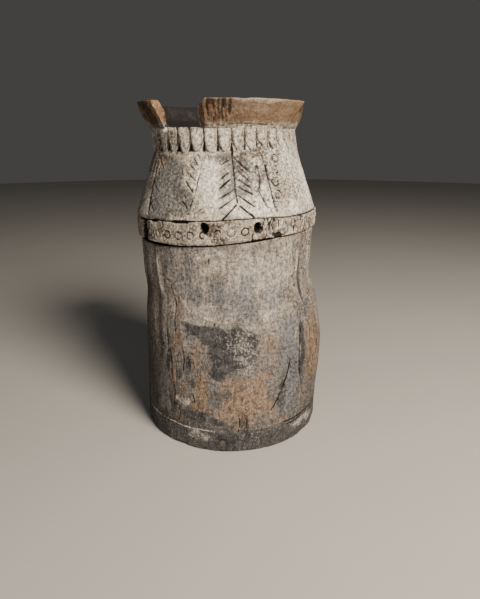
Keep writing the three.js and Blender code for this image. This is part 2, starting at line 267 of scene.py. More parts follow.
# Meshes.
def new_piece(name, points, faces):
    """A mesh object from points in mm."""
    mesh = bpy.data.meshes.new(name)
    mesh.from_pydata((points * MM).tolist(), [], faces)
    piece = bpy.data.objects.new(name, mesh)
    bpy.context.collection.objects.link(piece)
    return piece


def ring_mesh(name, azimuth, reach, height, axis):
    """A closed ring of wall. reach, height and axis are [row, column] in mm; rows climb the
    outside, cross the top, go down the inside and close underneath."""
    rows, columns = reach.shape
    points = place_round(axis, reach, azimuth, height)
    i, j = np.meshgrid(np.arange(rows), np.arange(columns), indexing="ij")
    here, right = i * columns + j, i * columns + (j + 1) % columns
    up = ((i + 1) % rows) * columns
    faces = np.stack([here, right, up + (j + 1) % columns, up + j], -1).reshape(-1, 4)
    return new_piece(name, points.reshape(-1, 3), faces.tolist())


def keep_maps(piece, **maps):
    """Keeps numbers from 0 to 1 for each vertex, which the materials read by name."""
    for name, values in maps.items():
        layer = piece.data.attributes.new(name, "FLOAT", "POINT")
        layer.data.foreach_set("value", np.clip(values, 0, 1).astype(np.float32).ravel())


def read_map(piece, name):
    values = np.empty(len(piece.data.vertices), np.float32)
    piece.data.attributes[name].data.foreach_get("value", values)
    return values.astype(float)


def vertices_of(piece):
    """The place of each vertex in mm."""
    co = np.empty(len(piece.data.vertices) * 3, np.float32)
    piece.data.vertices.foreach_get("co", co)
    return co.reshape(-1, 3).astype(float) / MM


def move_vertices(piece, points):
    """Puts each vertex at a point in mm."""
    piece.data.vertices.foreach_set("co", (points * MM).astype(np.float32).ravel())


def all_round(columns):
    """The azimuth of each column of a wall."""
    return np.arange(columns) * 360 / columns


def stack(*parts):
    """Joins blocks of rows, each a [row, column] array."""
    return np.concatenate(parts, 0)


def rows_between(start, end, count, last=False):
    """Rows from one row of values to another."""
    t = np.linspace(0, 1, count, endpoint=last)[:, None]
    return start[None, :] * (1 - t) + end[None, :] * t


def single_rows(columns, rows):
    """Rows of wall from (radius, height) pairs, each a number or one value a column."""
    return [np.array([np.full(columns, row[n], float) for row in rows]) for n in (0, 1)]


# Geometry nodes.
def node(tree, kind, settings=None, sockets=None):
    """Adds a node, sets its properties, and sets or links its sockets by name or number. A node
    given for a socket stands for its first output."""
    made = tree.nodes.new(kind)
    for key, value in (settings or {}).items():
        setattr(made, key, value)
    for key, value in (sockets or {}).items():
        if isinstance(value, bpy.types.Node):
            value = value.outputs[0]
        if isinstance(value, bpy.types.NodeSocket):
            tree.links.new(value, made.inputs[key])
        else:
            made.inputs[key].default_value = value
    return made


def new_tree(name, sizes):
    """A Geometry Nodes tree with one named input for each size."""
    tree = bpy.data.node_groups.new(name, "GeometryNodeTree")
    tree.interface.new_socket("Geometry", in_out="INPUT", socket_type="NodeSocketGeometry")
    tree.interface.new_socket("Geometry", in_out="OUTPUT", socket_type="NodeSocketGeometry")
    for label, kind in sizes.items():
        tree.interface.new_socket(label, in_out="INPUT", socket_type="NodeSocket" + kind)
    return tree, node(tree, "NodeGroupInput"), node(tree, "NodeGroupOutput")


def through_tree(piece, tree, values):
    """Runs a piece through a tree and leaves the result as its plain mesh."""
    modifier = piece.modifiers.new(tree.name, "NODES")
    modifier.node_group = tree
    for item in tree.interface.items_tree:
        if item.in_out == "INPUT" and item.name in values:
            modifier[item.identifier] = values[item.name]
    depsgraph = bpy.context.evaluated_depsgraph_get()
    mesh = bpy.data.meshes.new_from_object(piece.evaluated_get(depsgraph), depsgraph=depsgraph)
    piece.modifiers.remove(modifier)
    piece.data = mesh
    return piece


def weathered(piece, tree, finish, grain, pits, seed):
    """Roughens a piece by grain and pits, each a (depth, spacing) in mm."""
    return through_tree(piece, tree, {
        "Grain depth": grain[0] * MM, "Grain spacing": grain[1] * MM, "Pit depth": pits[0] * MM,
        "Pit spacing": pits[1] * MM, "Seed": seed, "Finish": finish})


def weathering_tree():
    """Raised grain along the log and small rot pits, cut in along the surface's normal."""
    tree, given, result = new_tree("weathering", {
        "Grain depth": "Float", "Grain spacing": "Float", "Pit depth": "Float",
        "Pit spacing": "Float", "Seed": "Float", "Finish": "Material"})
    position = node(tree, "GeometryNodeInputPosition")
    along = node(tree, "ShaderNodeVectorMath", TIMES, {0: position, 1: (1, 1, 0.11)})
    per_grain = node(tree, MATHS, OVER, {0: 1.0, 1: given.outputs["Grain spacing"]})
    grain = node(tree, "ShaderNodeTexNoise", {"noise_dimensions": "4D"},
                 {"Vector": along, "W": given.outputs["Seed"],
                  "Scale": per_grain, "Detail": 3.0, "Roughness": 0.6})
    raised = node(tree, "ShaderNodeMapRange", {},
                  {"Value": grain, "From Min": 0.3, "From Max": 0.7,
                   "To Min": -1.0, "To Max": 0.6})
    ridges = node(tree, MATHS, TIMES, {0: raised, 1: given.outputs["Grain depth"]})
    per_pit = node(tree, MATHS, OVER, {0: 1.0, 1: given.outputs["Pit spacing"]})
    pits = node(tree, "ShaderNodeTexNoise", {"noise_dimensions": "4D"},
                {"Vector": position, "W": given.outputs["Seed"],
                 "Scale": per_pit, "Detail": 2.0, "Roughness": 0.5})
    sunk = node(tree, "ShaderNodeMapRange", {"interpolation_type": "SMOOTHSTEP"},
                {"Value": pits, "From Min": 0.36, "From Max": 0.26,
                 "To Min": 0.0, "To Max": 1.0})
    dents = node(tree, MATHS, TIMES, {0: sunk, 1: given.outputs["Pit depth"]})
    height = node(tree, MATHS, LESS, {0: ridges, 1: dents})
    normal = node(tree, "GeometryNodeInputNormal")
    push = node(tree, "ShaderNodeVectorMath", {"operation": "SCALE"}, {0: normal, "Scale": height})
    moved = node(tree, "GeometryNodeSetPosition", {},
                 {"Geometry": given.outputs["Geometry"], "Offset": push})
    real = node(tree, "GeometryNodeRealizeInstances", {}, {"Geometry": moved})
    finished = node(tree, "GeometryNodeSetMaterial", {},
                    {"Geometry": real, "Material": given.outputs["Finish"]})
    tree.links.new(finished.outputs[0], result.inputs[0])
    return tree


def petal_tree():
    """A row of petals round the neck, cut by eye: narrower on the right than on the left."""
    tree, given, result = new_tree("petal row", {
        "Petal": "Object", "Count": "Int", "Axis": "Float", "Root radius": "Float",
        "Top": "Float", "Length": "Float", "Gap": "Float", "Phase": "Float",
        "Unevenness": "Float", "Seed": "Int", "Finish": "Material"})
    number = node(tree, "GeometryNodeInputIndex")
    halfway = node(tree, MATHS, ADD, {0: number, 1: 0.5})
    step = node(tree, MATHS, OVER, {0: math.tau, 1: given.outputs["Count"]})
    even = node(tree, MATHS, TIMES, {0: halfway, 1: step})
    cosine = node(tree, MATHS, {"operation": "COSINE"}, {0: even})
    short = node(tree, MATHS, LESS, {0: 1.0, 1: cosine})
    late = node(tree, MATHS, TIMES, {0: short, 1: given.outputs["Unevenness"]})
    ahead = node(tree, MATHS, ADD, {0: even, 1: given.outputs["Phase"]})
    angle = node(tree, MATHS, LESS, {0: ahead, 1: late})
    sine = node(tree, MATHS, {"operation": "SINE"}, {0: even})
    narrower = node(tree, MATHS, TIMES, {0: sine, 1: given.outputs["Unevenness"]})
    share = node(tree, MATHS, LESS, {0: 1.0, 1: narrower})
    arc = node(tree, MATHS, TIMES, {0: step, 1: given.outputs["Root radius"]})
    pitch = node(tree, MATHS, TIMES, {0: arc, 1: share})
    across = node(tree, MATHS, LESS, {0: pitch, 1: given.outputs["Gap"]})
    front = node(tree, MATHS, TIMES, {0: given.outputs["Root radius"], 1: -1.0})
    ahead_of_axis = node(tree, "ShaderNodeCombineXYZ", {}, {"Y": front})
    turned = node(tree, "ShaderNodeVectorRotate", {"rotation_type": "Z_AXIS"},
                  {"Vector": ahead_of_axis, "Angle": angle})
    middle = node(tree, "ShaderNodeCombineXYZ", {},
                  {"X": given.outputs["Axis"], "Z": given.outputs["Top"]})
    place = node(tree, "ShaderNodeVectorMath", ADD, {0: turned, 1: middle})
    points = node(tree, "GeometryNodePoints", {}, {"Count": given.outputs["Count"]})
    placed = node(tree, "GeometryNodeSetPosition", {}, {"Geometry": points, "Position": place})
    uneven = node(tree, "FunctionNodeRandomValue", {"data_type": "FLOAT_VECTOR"},
                  {0: (0.97, 0.85, 0.95), 1: (1.02, 1.2, 1.05), "Seed": given.outputs["Seed"]})
    width = node(tree, "ShaderNodeCombineXYZ", {},
                 {"X": across, "Y": 1.0, "Z": given.outputs["Length"]})
    size = node(tree, "ShaderNodeVectorMath", TIMES, {0: width, 1: uneven})
    lean = node(tree, "FunctionNodeRandomValue", {"data_type": "FLOAT"},
                {"Min": -0.03, "Max": 0.03, "Seed": given.outputs["Seed"]})
    facing = node(tree, "ShaderNodeCombineXYZ", {}, {"Y": lean.outputs[1], "Z": angle})
    model = node(tree, "GeometryNodeObjectInfo", {}, {"Object": given.outputs["Petal"]})
    row = node(tree, "GeometryNodeInstanceOnPoints", {},
               {"Points": placed, "Instance": model.outputs["Geometry"],
                "Rotation": facing, "Scale": size})
    real = node(tree, "GeometryNodeRealizeInstances", {}, {"Geometry": row})
    finished = node(tree, "GeometryNodeSetMaterial", {},
                    {"Geometry": real, "Material": given.outputs["Finish"]})
    tree.links.new(finished.outputs[0], result.inputs[0])
    return tree


# Materials.
def linear(code):
    """An sRGB hex colour as linear RGBA."""
    out = []
    for n in (0, 2, 4):
        c = int(code[n:n + 2], 16) / 255
        out.append(c / 12.92 if c <= 0.04045 else ((c + 0.055) / 1.055) ** 2.4)
    return (*out, 1.0)


def new_material(name, roughness, ior=1.45, level=0.25):
    """Dry open wood unless told otherwise: nearly all diffuse, with a weak broad sheen."""
    material = bpy.data.materials.new(name)
    material.use_nodes = True
    tree = material.node_tree
    tree.nodes.clear()
    shader = node(tree, "ShaderNodeBsdfPrincipled", {},
                  {"Roughness": roughness, "IOR": ior, "Specular IOR Level": level})
    node(tree, "ShaderNodeOutputMaterial", {}, {"Surface": shader})
    return material, tree, shader, node(tree, "ShaderNodeTexCoord").outputs["Object"]


def tones(tree, where, lump, colours, roughness=0.62, spread=(0.32, 0.68)):
    """Wood whose colour wanders over a few tones, in patches of a given size in mm."""
    patches = node(tree, "ShaderNodeTexNoise", {},
                   {"Vector": where, "Scale": 1 / (lump * MM), "Detail": 6.0, "Roughness": roughness})
    ramp = node(tree, "ShaderNodeValToRGB", {}, {"Fac": patches})
    stops = ramp.color_ramp.elements
    for n, colour in enumerate(colours):
        at = spread[0] + (spread[1] - spread[0]) * n / (len(colours) - 1)
        stop = stops[n] if n < 2 else stops.new(at)
        stop.position, stop.color = at, linear(colour)
    return ramp.outputs[0]


def stained(tree, under, tint, place, where, lump, edge, strength, crisp=0.3):
    """Lays a tint over a colour where the mesh's map says, with an edge broken up by noise in
    lumps of a size in mm."""
    map_node = node(tree, "ShaderNodeAttribute", {"attribute_name": place})
    ragged = node(tree, "ShaderNodeTexNoise", {},
                  {"Vector": where, "Scale": 1 / (lump * MM), "Detail": 7.0, "Roughness": 0.7})
    shifted = node(tree, MATHS, TIMES_ADD, {0: ragged, 1: edge, 2: -edge / 2})
    level = node(tree, MATHS, ADD, {0: shifted, 1: map_node.outputs["Fac"]})
    mask = node(tree, "ShaderNodeMapRange", {"interpolation_type": "SMOOTHSTEP"},
                {"Value": level, "From Min": 0.5 - crisp, "From Max": 0.5 + crisp,
                 "To Max": strength})
    tint = linear(tint) if isinstance(tint, str) else tint
    return node(tree, "ShaderNodeMix", MIX, {0: mask, 6: under, 7: tint}).outputs[2]


def layered(tree, colour, layers):
    """Lays stains over a colour in turn, each a row of what stained takes from its tint on."""
    for layer in layers:
        colour = stained(tree, colour, *layer)
    return colour


def crust(tree, colour, where, lump, stretch, dark, light, roughness=0.75):
    """Fine relief in lumps of a size in mm, drawn out along the log. It darkens the hollows and
    lightens the tops of a colour as painted shade and painted highlight, and gives the new colour
    and the relief as a height."""
    run = node(tree, "ShaderNodeMapping", {}, {"Vector": where, "Scale": (1, 1, stretch)})
    height = node(tree, "ShaderNodeTexNoise", {},
                  {"Vector": run, "Scale": 1 / (lump * MM), "Detail": 5.0,
                   "Roughness": roughness})
    shade = node(tree, "ShaderNodeMapRange", {},
                 {"Value": height, "From Min": 0.39, "From Max": 0.61, "To Min": dark,
                  "To Max": light})
    return node(tree, "ShaderNodeMix", {**MIX, "blend_type": "MULTIPLY"},
                {0: 1.0, 6: colour, 7: shade}).outputs[2], height


def surfaced(material, shader, colour, heights, distance):
    """Gives a material its colour, and raises its surface by a sum of heights from 0 to 1, up to
    a distance in mm."""
    tree, total = material.node_tree, 0.0
    for height, share in heights:
        total = node(tree, MATHS, TIMES_ADD, {0: height, 1: share, 2: total})
    bump = node(tree, "ShaderNodeBump", {}, {"Height": total, "Distance": distance * MM})
    tree.links.new(bump.outputs[0], shader.inputs["Normal"])
    tree.links.new(colour, shader.inputs["Base Color"])
    return material


# Stains are rows of tint, map, coordinates, lump in mm, raggedness, strength and softness.
# Fibre, pores, dust and grit of real wood are under 1 mm, too fine for the render, which shows
# about 1.2 mm. They are drawn 1.6 to 3.4 mm wide, so that the wood looks fibrous and gritty.
def weathered_log():
    """Weathered log wood, hewn and long in use: silvery grey fibre over brown, with soot, ochre
    dirt and bare tan patches."""
    material, tree, shader, where = new_material("weathered_log_wood", 0.9)
    grain = node(tree, "ShaderNodeMapping", {}, {"Vector": where, "Scale": ALONG_THE_LOG})
    base = tones(tree, grain, 14, ["5d5753", "898179", "a49b94", "b9b0a8"], spread=(0.34, 0.66))
    cloudy = tones(tree, where, 26, ["6c645f", "9b9189", "bbafa4"], roughness=0.7)
    tan = tones(tree, grain, 6, ["665140", "8b745d", "a58e77"])
    ochre = tones(tree, where, 6, ["655246", "8f7766", "a68a71", "a3968a"])
    soot_and_shade = tones(tree, where, 12, ["333234", "454447", "605d5e"])
    colour = node(tree, "ShaderNodeMix", MIX, {0: 0.55, 6: base, 7: cloudy}).outputs[2]
    colour = layered(tree, colour, [
        # Painted shade: darker towards the bottom, and more so at the foot
        ("5b5654", "low", where, 20, 1.6, 0.66, 0.45),
        ("454446", "foot", where, 16, 1.6, 0.72, 0.45),
        ("cbc2b6", "pale", where, 9, 2.4, 0.65),
        ("74767a", "slate", grain, 16, 1.6, 0.76, 0.4),
        (tan, "tan", grain, 10, 2.0, 0.82),
        (ochre, "ochre", where, 12, 2.0, 0.8),
        # Dirt, and painted shade on the left side and on the inner faces
        ("4c453f", "grime", grain, 16, 1.8, 0.75, 0.4),
        (soot_and_shade, "char", where, 14, 1.6, 0.9),
        # Pale scars, and painted highlights on the lower lip of the foot line
        ("d9d2c7", "scar_and_highlight", where, 3, 1.6, 0.85, 0.15)])
    colour, lumps = crust(tree, colour, where, 3.4, 1.0, 0.40, 1.42, 0.8)
    colour, strands = crust(tree, colour, where, 2.6, 0.12, 0.82, 1.1, 0.65)
    colour = layered(tree, colour, [
        ("39322c", "speck", where, 3, 2.2, 0.85, 0.14),
        ("d6cdc0", "fleck", where, 2.6, 2.2, 0.62, 0.14),
        # Painted shade in the cracks, cuts, foot lines and peg holes, with some dirt
        ("17130f", "crack", where, 4, 0.6, 0.95, 0.15),
        # Painted shade on the inner faces
        ("2f2b28", "inside", where, 12, 0.8, 0.94)])
    return surfaced(material, shader, colour, [(strands, 0.4), (lumps, 1.0)], 3.4)


def chalky_shoulder():
    """Shoulder wood, sun-bleached and caked with pale dust: chalky, with dirt and painted shade
    dark in every cut.
    """
    material, tree, shader, where = new_material("chalky_shoulder_wood", 0.92)
    grain = node(tree, "ShaderNodeMapping", {}, {"Vector": where, "Scale": ALONG_THE_LOG})
    base = tones(tree, where, 12, ["a4988a", "d0c5b5", "e7ddcd", "f4ecdf"], roughness=0.7)
    streaks = tones(tree, grain, 7, ["9a9086", "c6bcb0", "dcd4c8"])
    rust = tones(tree, where, 4, ["7b5e44", "a58a6c"])
    colour = node(tree, "ShaderNodeMix", MIX, {0: 0.4, 6: base, 7: streaks}).outputs[2]
    colour = layered(tree, colour, [
        # Blue-grey dirt, and painted shade round the frond's bars and on the left-hand petals
        ("696a6e", "slate", where, 14, 1.8, 0.78, 0.4),
        ("f7f0e4", "pale", where, 10, 1.8, 0.9, 0.4),
        (rust, "rust", where, 5, 2.4, 0.65),
        # Dirt, and painted shade on the left side, along the petals' edges and on the inner faces
        ("5c5148", "grime", where, 9, 2.2, 0.72, 0.35)])
    colour, lumps = crust(tree, colour, where, 3.2, 1.0, 0.40, 1.34, 0.8)
    colour, strands = crust(tree, colour, where, 3, 0.3, 0.86, 1.08, 0.65)
    colour = layered(tree, colour, [
        ("4c4239", "speck", where, 3, 2.2, 0.85, 0.14),
        ("f4efe6", "fleck", where, 2.6, 2.2, 0.7, 0.14),
        # Painted shade in the cuts, cracks, holes, gaps between petals and open joint lines, with some
        # dirt
        ("1a1511", "crack", where, 3, 0.7, 0.95, 0.25),
        # Painted shade on the inner faces
        ("2b2926", "inside", where, 12, 0.8, 0.94)])
    return surfaced(material, shader, colour, [(strands, 0.3), (lumps, 1.0)], 2.8)


def rubbed_rim():
    """Rim wood, rubbed by hands: tan-brown, smoother, darker in streaks, with bare wood in
    the break, a painted highlight on the lip's top at the front and painted shade inside."""
    material, tree, shader, where = new_material("rubbed_rim_wood", 0.8)
    grain = node(tree, "ShaderNodeMapping", {}, {"Vector": where, "Scale": ALONG_THE_LOG})
    around = node(tree, "ShaderNodeMapping", {}, {"Vector": where, "Scale": (0.35, 0.35, 1)})
    base = tones(tree, around, 9, ["574637", "705c48", "88745f", "9f8c76"])
    worn = tones(tree, where, 24, ["6a5241", "957b61"])
    chalk = tones(tree, where, 7, ["857b6d", "b0a595", "cdc3b5"])
    bare = tones(tree, grain, 4, ["5a4535", "84694f", "b0927a"])
    rust = tones(tree, grain, 4, ["573c2b", "7d573c", "9c7454"])
    soot_and_shade = tones(tree, where, 10, ["121315", "1c1d20", "2b2c2f"])
    colour = node(tree, "ShaderNodeMix", MIX, {0: 0.45, 6: base, 7: worn}).outputs[2]
    colour = layered(tree, colour, [
        (chalk, "foot", where, 6, 2.0, 0.9, 0.4),
        # Pale dust, and a painted highlight on the lip's top at the front
        ("bbb0a0", "pale", where, 7, 1.8, 0.6, 0.35),
        (bare, "bare", where, 6, 1.0, 0.95),
        ("858890", "slate", where, 6, 1.2, 0.75),
        (rust, "rust", where, 5, 2.0, 0.8),
        # Dirt, and painted shade on the left shard
        ("33271f", "grime", grain, 5, 1.8, 0.88),
        # Near-black painted shade inside the bore and on the lip's top round the back
        (soot_and_shade, "char", where, 12, 0.6, 0.97)])
    colour, lumps = crust(tree, colour, where, 3.2, 1.0, 0.66, 1.16)
    colour, strands = crust(tree, colour, where, 2, 0.12, 0.9, 1.05, 0.65)
    colour = layered(tree, colour, [
        ("3a2f26", "speck", where, 3.4, 2.2, 0.75, 0.12),
        # Painted shade, deepest low in the bore, and faint dark in the splits
        ("15110e", "crack", where, 3, 0.5, 0.95, 0.2)])
    return surfaced(material, shader, colour, [(lumps, 0.8), (strands, 0.4)], 1.6)


def sawn_board():
    """Board let into the foot: dark old wood with straight grain across."""
    material, tree, shader, where = new_material("old_board_wood", 0.88)
    run = node(tree, "ShaderNodeMapping", {}, {"Vector": where, "Scale": (0.12, 1, 1)})
    base = tones(tree, run, 6, ["4a3d31", "66574a", "7d6e5e"])
    colour, ridges = crust(tree, base, run, 2, 1.0, 0.75, 1.12, 0.6)
    return surfaced(material, shader, colour, [(ridges, 1.0)], 0.8)


def end_grain_peg():
    """Whittled treenails: end grain that took up dirt, brown-black and dull in the foot and dusty
    in the band."""
    material, tree, shader, where = new_material("end_grain_peg_wood", 0.86)
    dark = tones(tree, where, 3, ["37322d", "544e47", "6c655d"])
    dusty = tones(tree, where, 3, ["665b50", "8b7f71", "aca191"])
    height = node(tree, "ShaderNodeSeparateXYZ", {}, {"Vector": where}).outputs["Z"]
    in_band = node(tree, "ShaderNodeMapRange", {}, {"Value": height, "From Min": 0.05, "From Max": 0.2})
    base = node(tree, "ShaderNodeMix", MIX, {0: in_band, 6: dark, 7: dusty}).outputs[2]
    colour, pores = crust(tree, base, where, 1.6, 1.0, 0.7, 1.3)
    return surfaced(material, shader, colour, [(pores, 1.0)], 0.6)


def plant_gum():
    """Dark plant gum, pressed in soft and hardened: dull with a slight gloss."""
    material, tree, shader, where = new_material("plant_gum", 0.55, 1.5, 0.5)
    base = tones(tree, where, 6, ["16110d", "2b221a", "3a2f25"])
    colour, dimples = crust(tree, base, where, 4, 1.0, 0.85, 1.1)
    return surfaced(material, shader, colour, [(dimples, 1.0)], 0.9)


# What the hand and time left, with some painted light and shade.
# Body: oval stains as (azimuth, height, half width in degrees, half height, strength)
SOOT = [(1, 138, 14, 21, 1.0), (6, 124, 10, 15, 1.0), (-9, 146, 11, 15, 1.0), (-21, 153, 8, 8, 0.85),
        (-5, 110, 6, 14, 1.0), (-4, 126, 9, 14, 1.0), (-22, 43, 8, 7, 0.8), (-9, 38, 5, 5, 0.6),
        (-4, 12, 7, 10, 0.95), (8, 20, 6, 9, 0.8), (-28, 158, 4, 5, 0.5), (-27, 114, 2.4, 10, 0.85),
        (-33, 96, 2.2, 8, 0.6), (-24, 88, 1.8, 9, 0.6), (48.5, 118, 2.6, 44, 0.85), (33, 66, 3, 22, 0.5),
        (55, 200, 2.6, 40, 0.5), (49, 144, 1.6, 5, 1.0), (-42, 105, 2, 20, 0.6), (-38, 48, 5, 12, 0.5),
        (146, 112, 9, 18, 0.7), (157, 132, 7, 14, 0.7), (212, 158, 6, 18, 0.6), (221, 184, 7, 12, 0.6),
        (255, 60, 10, 18, 0.7), (118, 40, 10, 12, 0.6)]
OCHRE = [(4, 88, 12, 13, 0.95), (14, 74, 12, 26, 1.0), (21, 96, 6, 9, 0.8), (24, 55, 6, 14, 0.85),
         (5, 62, 12, 16, 0.9), (-3, 52, 7, 11, 0.7), (30, 32, 9, 5, 0.75), (23, 145.5, 3.4, 2.6, 1.0),
         (9, 40, 7, 10, 0.6), (-34, 62, 2, 4, 0.6), (172, 70, 14, 24, 0.8), (232, 110, 10, 28, 0.7)]
TAN = [(-34, 138, 4, 15, 0.9), (-38, 124, 4, 18, 0.75), (-34, 172, 2.2, 20, 0.7),
       (-20.5, 122, 3.5, 24, 0.8), (-17, 82, 6, 22, 0.95), (-38, 92, 4, 16, 0.8), (-30, 74, 4, 10, 0.7),
       (-18, 56, 9, 7, 0.8), (62, 112, 12, 50, 1.0), (24, 133, 6, 12, 0.55), (-44, 236, 4, 16, 0.55),
       (-12, 232, 3, 10, 0.45), (-33, 35, 2.5, 9, 0.7), (190, 150, 10, 40, 0.6), (270, 190, 9, 40, 0.7)]
SLATE = [(38, 92, 8, 52, 0.95), (6, 182, 12, 14, 0.45), (-27, 96, 3, 8, 0.6), (-12, 62, 3, 10, 0.5),
         (-20, 190, 7, 12, 0.5), (30, 190, 8, 14, 0.4), (-22, 228, 5, 16, 0.5), (38, 150, 7, 14, 0.75),
         (-37, 156, 5, 10, 0.6), (-24, 145, 4, 16, 0.6), (-2, 196, 10, 14, 0.45), (-48, 74, 4, 26, 0.6),
         (-28, 206, 8, 22, 0.5), (-38, 232, 4, 20, 0.6), (56, 165, 5, 14, 0.7), (13, 200, 6, 22, 0.4),
         (-12, 85, 2, 8, 0.8), (20, 91, 3, 4, 0.7), (130, 180, 16, 50, 0.6), (240, 210, 14, 30, 0.6)]
CHALK = [(22, 216, 20, 26, 0.6), (-6, 232, 16, 14, 0.4), (-14, 178, 12, 8, 0.35), (26, 172, 10, 8, 0.35),
         (14, 161, 12, 4, 0.5), (43, 222, 5, 26, 0.8), (-30, 62, 5, 8, 0.5), (54, 18, 12, 8, 0.5),
         (40, 235, 8, 10, 0.7), (-47, 215, 2, 36, 0.6), (68, 232, 2, 18, 0.8), (-20, 20, 7, 7, 0.3),
         (165, 215, 30, 26, 0.6), (295, 225, 16, 26, 0.5), (100, 215, 16, 26, 0.6)]
# Body: dirt; the spots at azimuths -88, -68 and -62 also darken the left side as painted shade
BODY_DIRT_AND_SHADE = [(-88, 120, 25, 140, 0.9), (-68, 150, 9, 130, 0.4), (-62, 60, 8, 60, 0.5),
             (-50, 150, 3, 50, 0.45), (34, 78, 1.6, 26, 0.7), (8, 36, 3, 12, 0.7), (-44, 30, 9, 12, 0.5),
             (205, 70, 22, 50, 0.5)]
# Body: pale scars, and at height 26.6 painted highlights on the lower lip of the foot line
SCARS_AND_HIGHLIGHTS = [(-12.5, 168, 4.6, 1.5, 1.0), (6, 126, 7, 15, 0.12), (9, 116, 5, 6, 0.15),
         (-35.5, 62, 1.0, 3, 1.0), (51, 222, 1.2, 26, 0.4), (-26, 26.6, 22, 0.9, 0.5),
         (-60, 26.6, 12, 0.9, 0.5), (50, 19, 14, 3.0, 0.2), (-22, 17, 8, 3, 0.15)]
# Body: dark cracks as (points, width, depth)
CRACKS = [([(40, 116), (38, 102), (35.6, 88)], 3.6, 2.8), ([(37.4, 96), (34.4, 80), (31, 66)], 4.4, 3.2),
          ([(33, 74), (29, 60), (23.6, 45)], 3.8, 2.8), ([(36.4, 96), (34.0, 78), (30.6, 66)], 2.6, 2.0),
          ([(46.2, 166), (47.8, 142), (46.4, 112), (47.2, 84), (50.5, 60), (55, 48)], 2.6, 2.0),
          ([(49.4, 148), (48.8, 139)], 4.4, 5.0), ([(-8.6, 164), (-9.9, 159)], 2.2, 3.0),
          ([(-36.5, 200), (-35, 178), (-36.5, 158), (-35, 146)], 1.8, 1.6),
          ([(-31, 132), (-29.4, 112), (-30.2, 97)], 2.0, 1.8), ([(-26.4, 122), (-25.6, 100)], 1.8, 1.4),
          ([(-40.5, 124), (-39, 106), (-40, 90)], 2.0, 1.5),
          ([(-38.4, 80), (-37, 66), (-38, 50)], 2.0, 1.5),
          ([(-43, 150), (-42, 130), (-43.5, 112)], 1.8, 1.6), ([(-23.2, 72), (-22.6, 60)], 2.6, 2.0),
          ([(-34, 56), (-33, 40), (-34.5, 30)], 2.0, 1.6), ([(4.6, 52), (5.6, 38), (5, 27)], 2.2, 1.4),
          ([(8.6, 48), (9.8, 34)], 1.8, 1.2), ([(38.6, 49), (38.3, 45)], 2.6, 2.4),
          ([(-9.9, 237), (-9.2, 232)], 3.2, 2.0), ([(-11.5, 233), (-10.8, 229)], 2.0, 1.2),
          ([(23.5, 112), (24.5, 103), (27, 96)], 1.6, 1.2),
          ([(-55, 240), (-56, 200), (-54, 160)], 2.4, 1.6), ([(66, 160), (68, 128), (65, 96)], 1.8, 1.6),
          ([(57, 150), (58, 118), (56, 84)], 1.6, 1.3), ([(120, 210), (122, 150), (119, 90)], 2.4, 2.2),
          ([(168, 250), (171, 200), (169, 172)], 2.2, 2.0),
          ([(205, 140), (203, 90), (206, 44)], 2.6, 2.4),
          ([(243, 236), (246, 180), (244, 130)], 2.2, 2.0),
          ([(276, 120), (279, 80), (277, 40)], 2.2, 1.8), ([(300, 216), (298, 180)], 1.8, 1.4)]
# Body: raised ridges as (points, width, height)
RIDGES = [([(52.5, 248), (51.5, 225), (49.5, 200), (47, 182)], 5.0, 1.5),
          ([(67, 252), (68, 232), (67, 212)], 5.0, 1.3),
          ([(-48.5, 244), (-48, 215), (-46, 188)], 5.0, 1.2)]
# Body: lines cut round the foot as (height, (first, last azimuth), share of the full depth)
FOOT_LINES = [(28.6, (-90, 2), 0.42), (28.6, (34, 68), 1.0), (24.2, (36, 70), 0.9),
              (24.0, (-52, -30), 0.3), (28.2, (68, 270), 0.7), (23.6, (70, 270), 0.6)]

# Shoulder: chip-carved frond, as strokes of (azimuth, height)
FROND_STEM = [(5.7, 344.5), (6.0, 334), (6.1, 324.5), (6.9, 309.6), (8.0, 296.5)]
FROND_BARS = [([(5.2, 341.5), (-2.1, 334.5)], 0.75), ([(4.4, 335), (-3.2, 326.8)], 0.8),
              ([(3.4, 327.5), (-3.2, 318.5)], 0.9), ([(3.5, 319.5), (-3.6, 309.7)], 0.95),
              ([(6.0, 310.2), (-3.4, 300.0)], 0.9), ([(6.5, 301.5), (-3.4, 290.0)], 1.0),
              ([(6.8, 341.5), (16.8, 326.8)], 1.0), ([(8.6, 334.0), (15.5, 323.5)], 0.7),
              ([(8.6, 328.0), (17.4, 316.4)], 0.9), ([(9.2, 319.5), (17.0, 310.4)], 0.9),
              ([(8.2, 312.8), (17.8, 304.0)], 0.9), ([(8.4, 304.2), (18.4, 291.6)], 0.9)]
FROND_FOOT = [[(7.2, 294.2), (-0.9, 279.6)], [(9.6, 293.0), (17.0, 281.8)]]
SPEARS = [[(27.4, 346), (29.0, 334), (29.7, 325), (30.6, 305), (31.5, 288)],
          [(22.8, 333), (24.0, 322), (23.0, 312), (21.5, 309)], [(22.0, 308), (24.6, 299), (27.0, 290)],
          [(20.6, 327), (22.4, 333.5), (25.0, 329)]]
FAINT_FROND = [[(-15.5, 341), (-17.0, 320), (-18.6, 300), (-20.4, 291)], [(-19.3, 345), (-16.5, 338)],
               [(-22.5, 341), (-17.3, 332.5)], [(-24.6, 334.5), (-18, 326.5)],
               [(-25.8, 327), (-18.2, 317.5)], [(-26, 318), (-19.4, 306)], [(-26, 297), (-21.5, 289)]]
# Shoulder: fainter fronds as (azimuth, share of the full depth), and rings as (azimuth, height,
# radius, share)
MORE_FRONDS = [(72, 0.5), (128, 0.75), (184, 0.6), (240, 0.75), (296, 0.5)]
RINGS = [(38.9, 340.5, 4.0, 0.9), (36.8, 328.6, 4.0, 0.6), (35.2, 316.4, 4.2, 0.8),
         (35.4, 303.4, 4.2, 0.7), (39.0, 293.5, 4.2, 0.6), (40.6, 319, 6.5, 0.5),
         (-21.8, 303.5, 4.6, 0.45), (-10.5, 304.5, 4.4, 0.35), (-22.5, 287.5, 3.2, 0.3)]
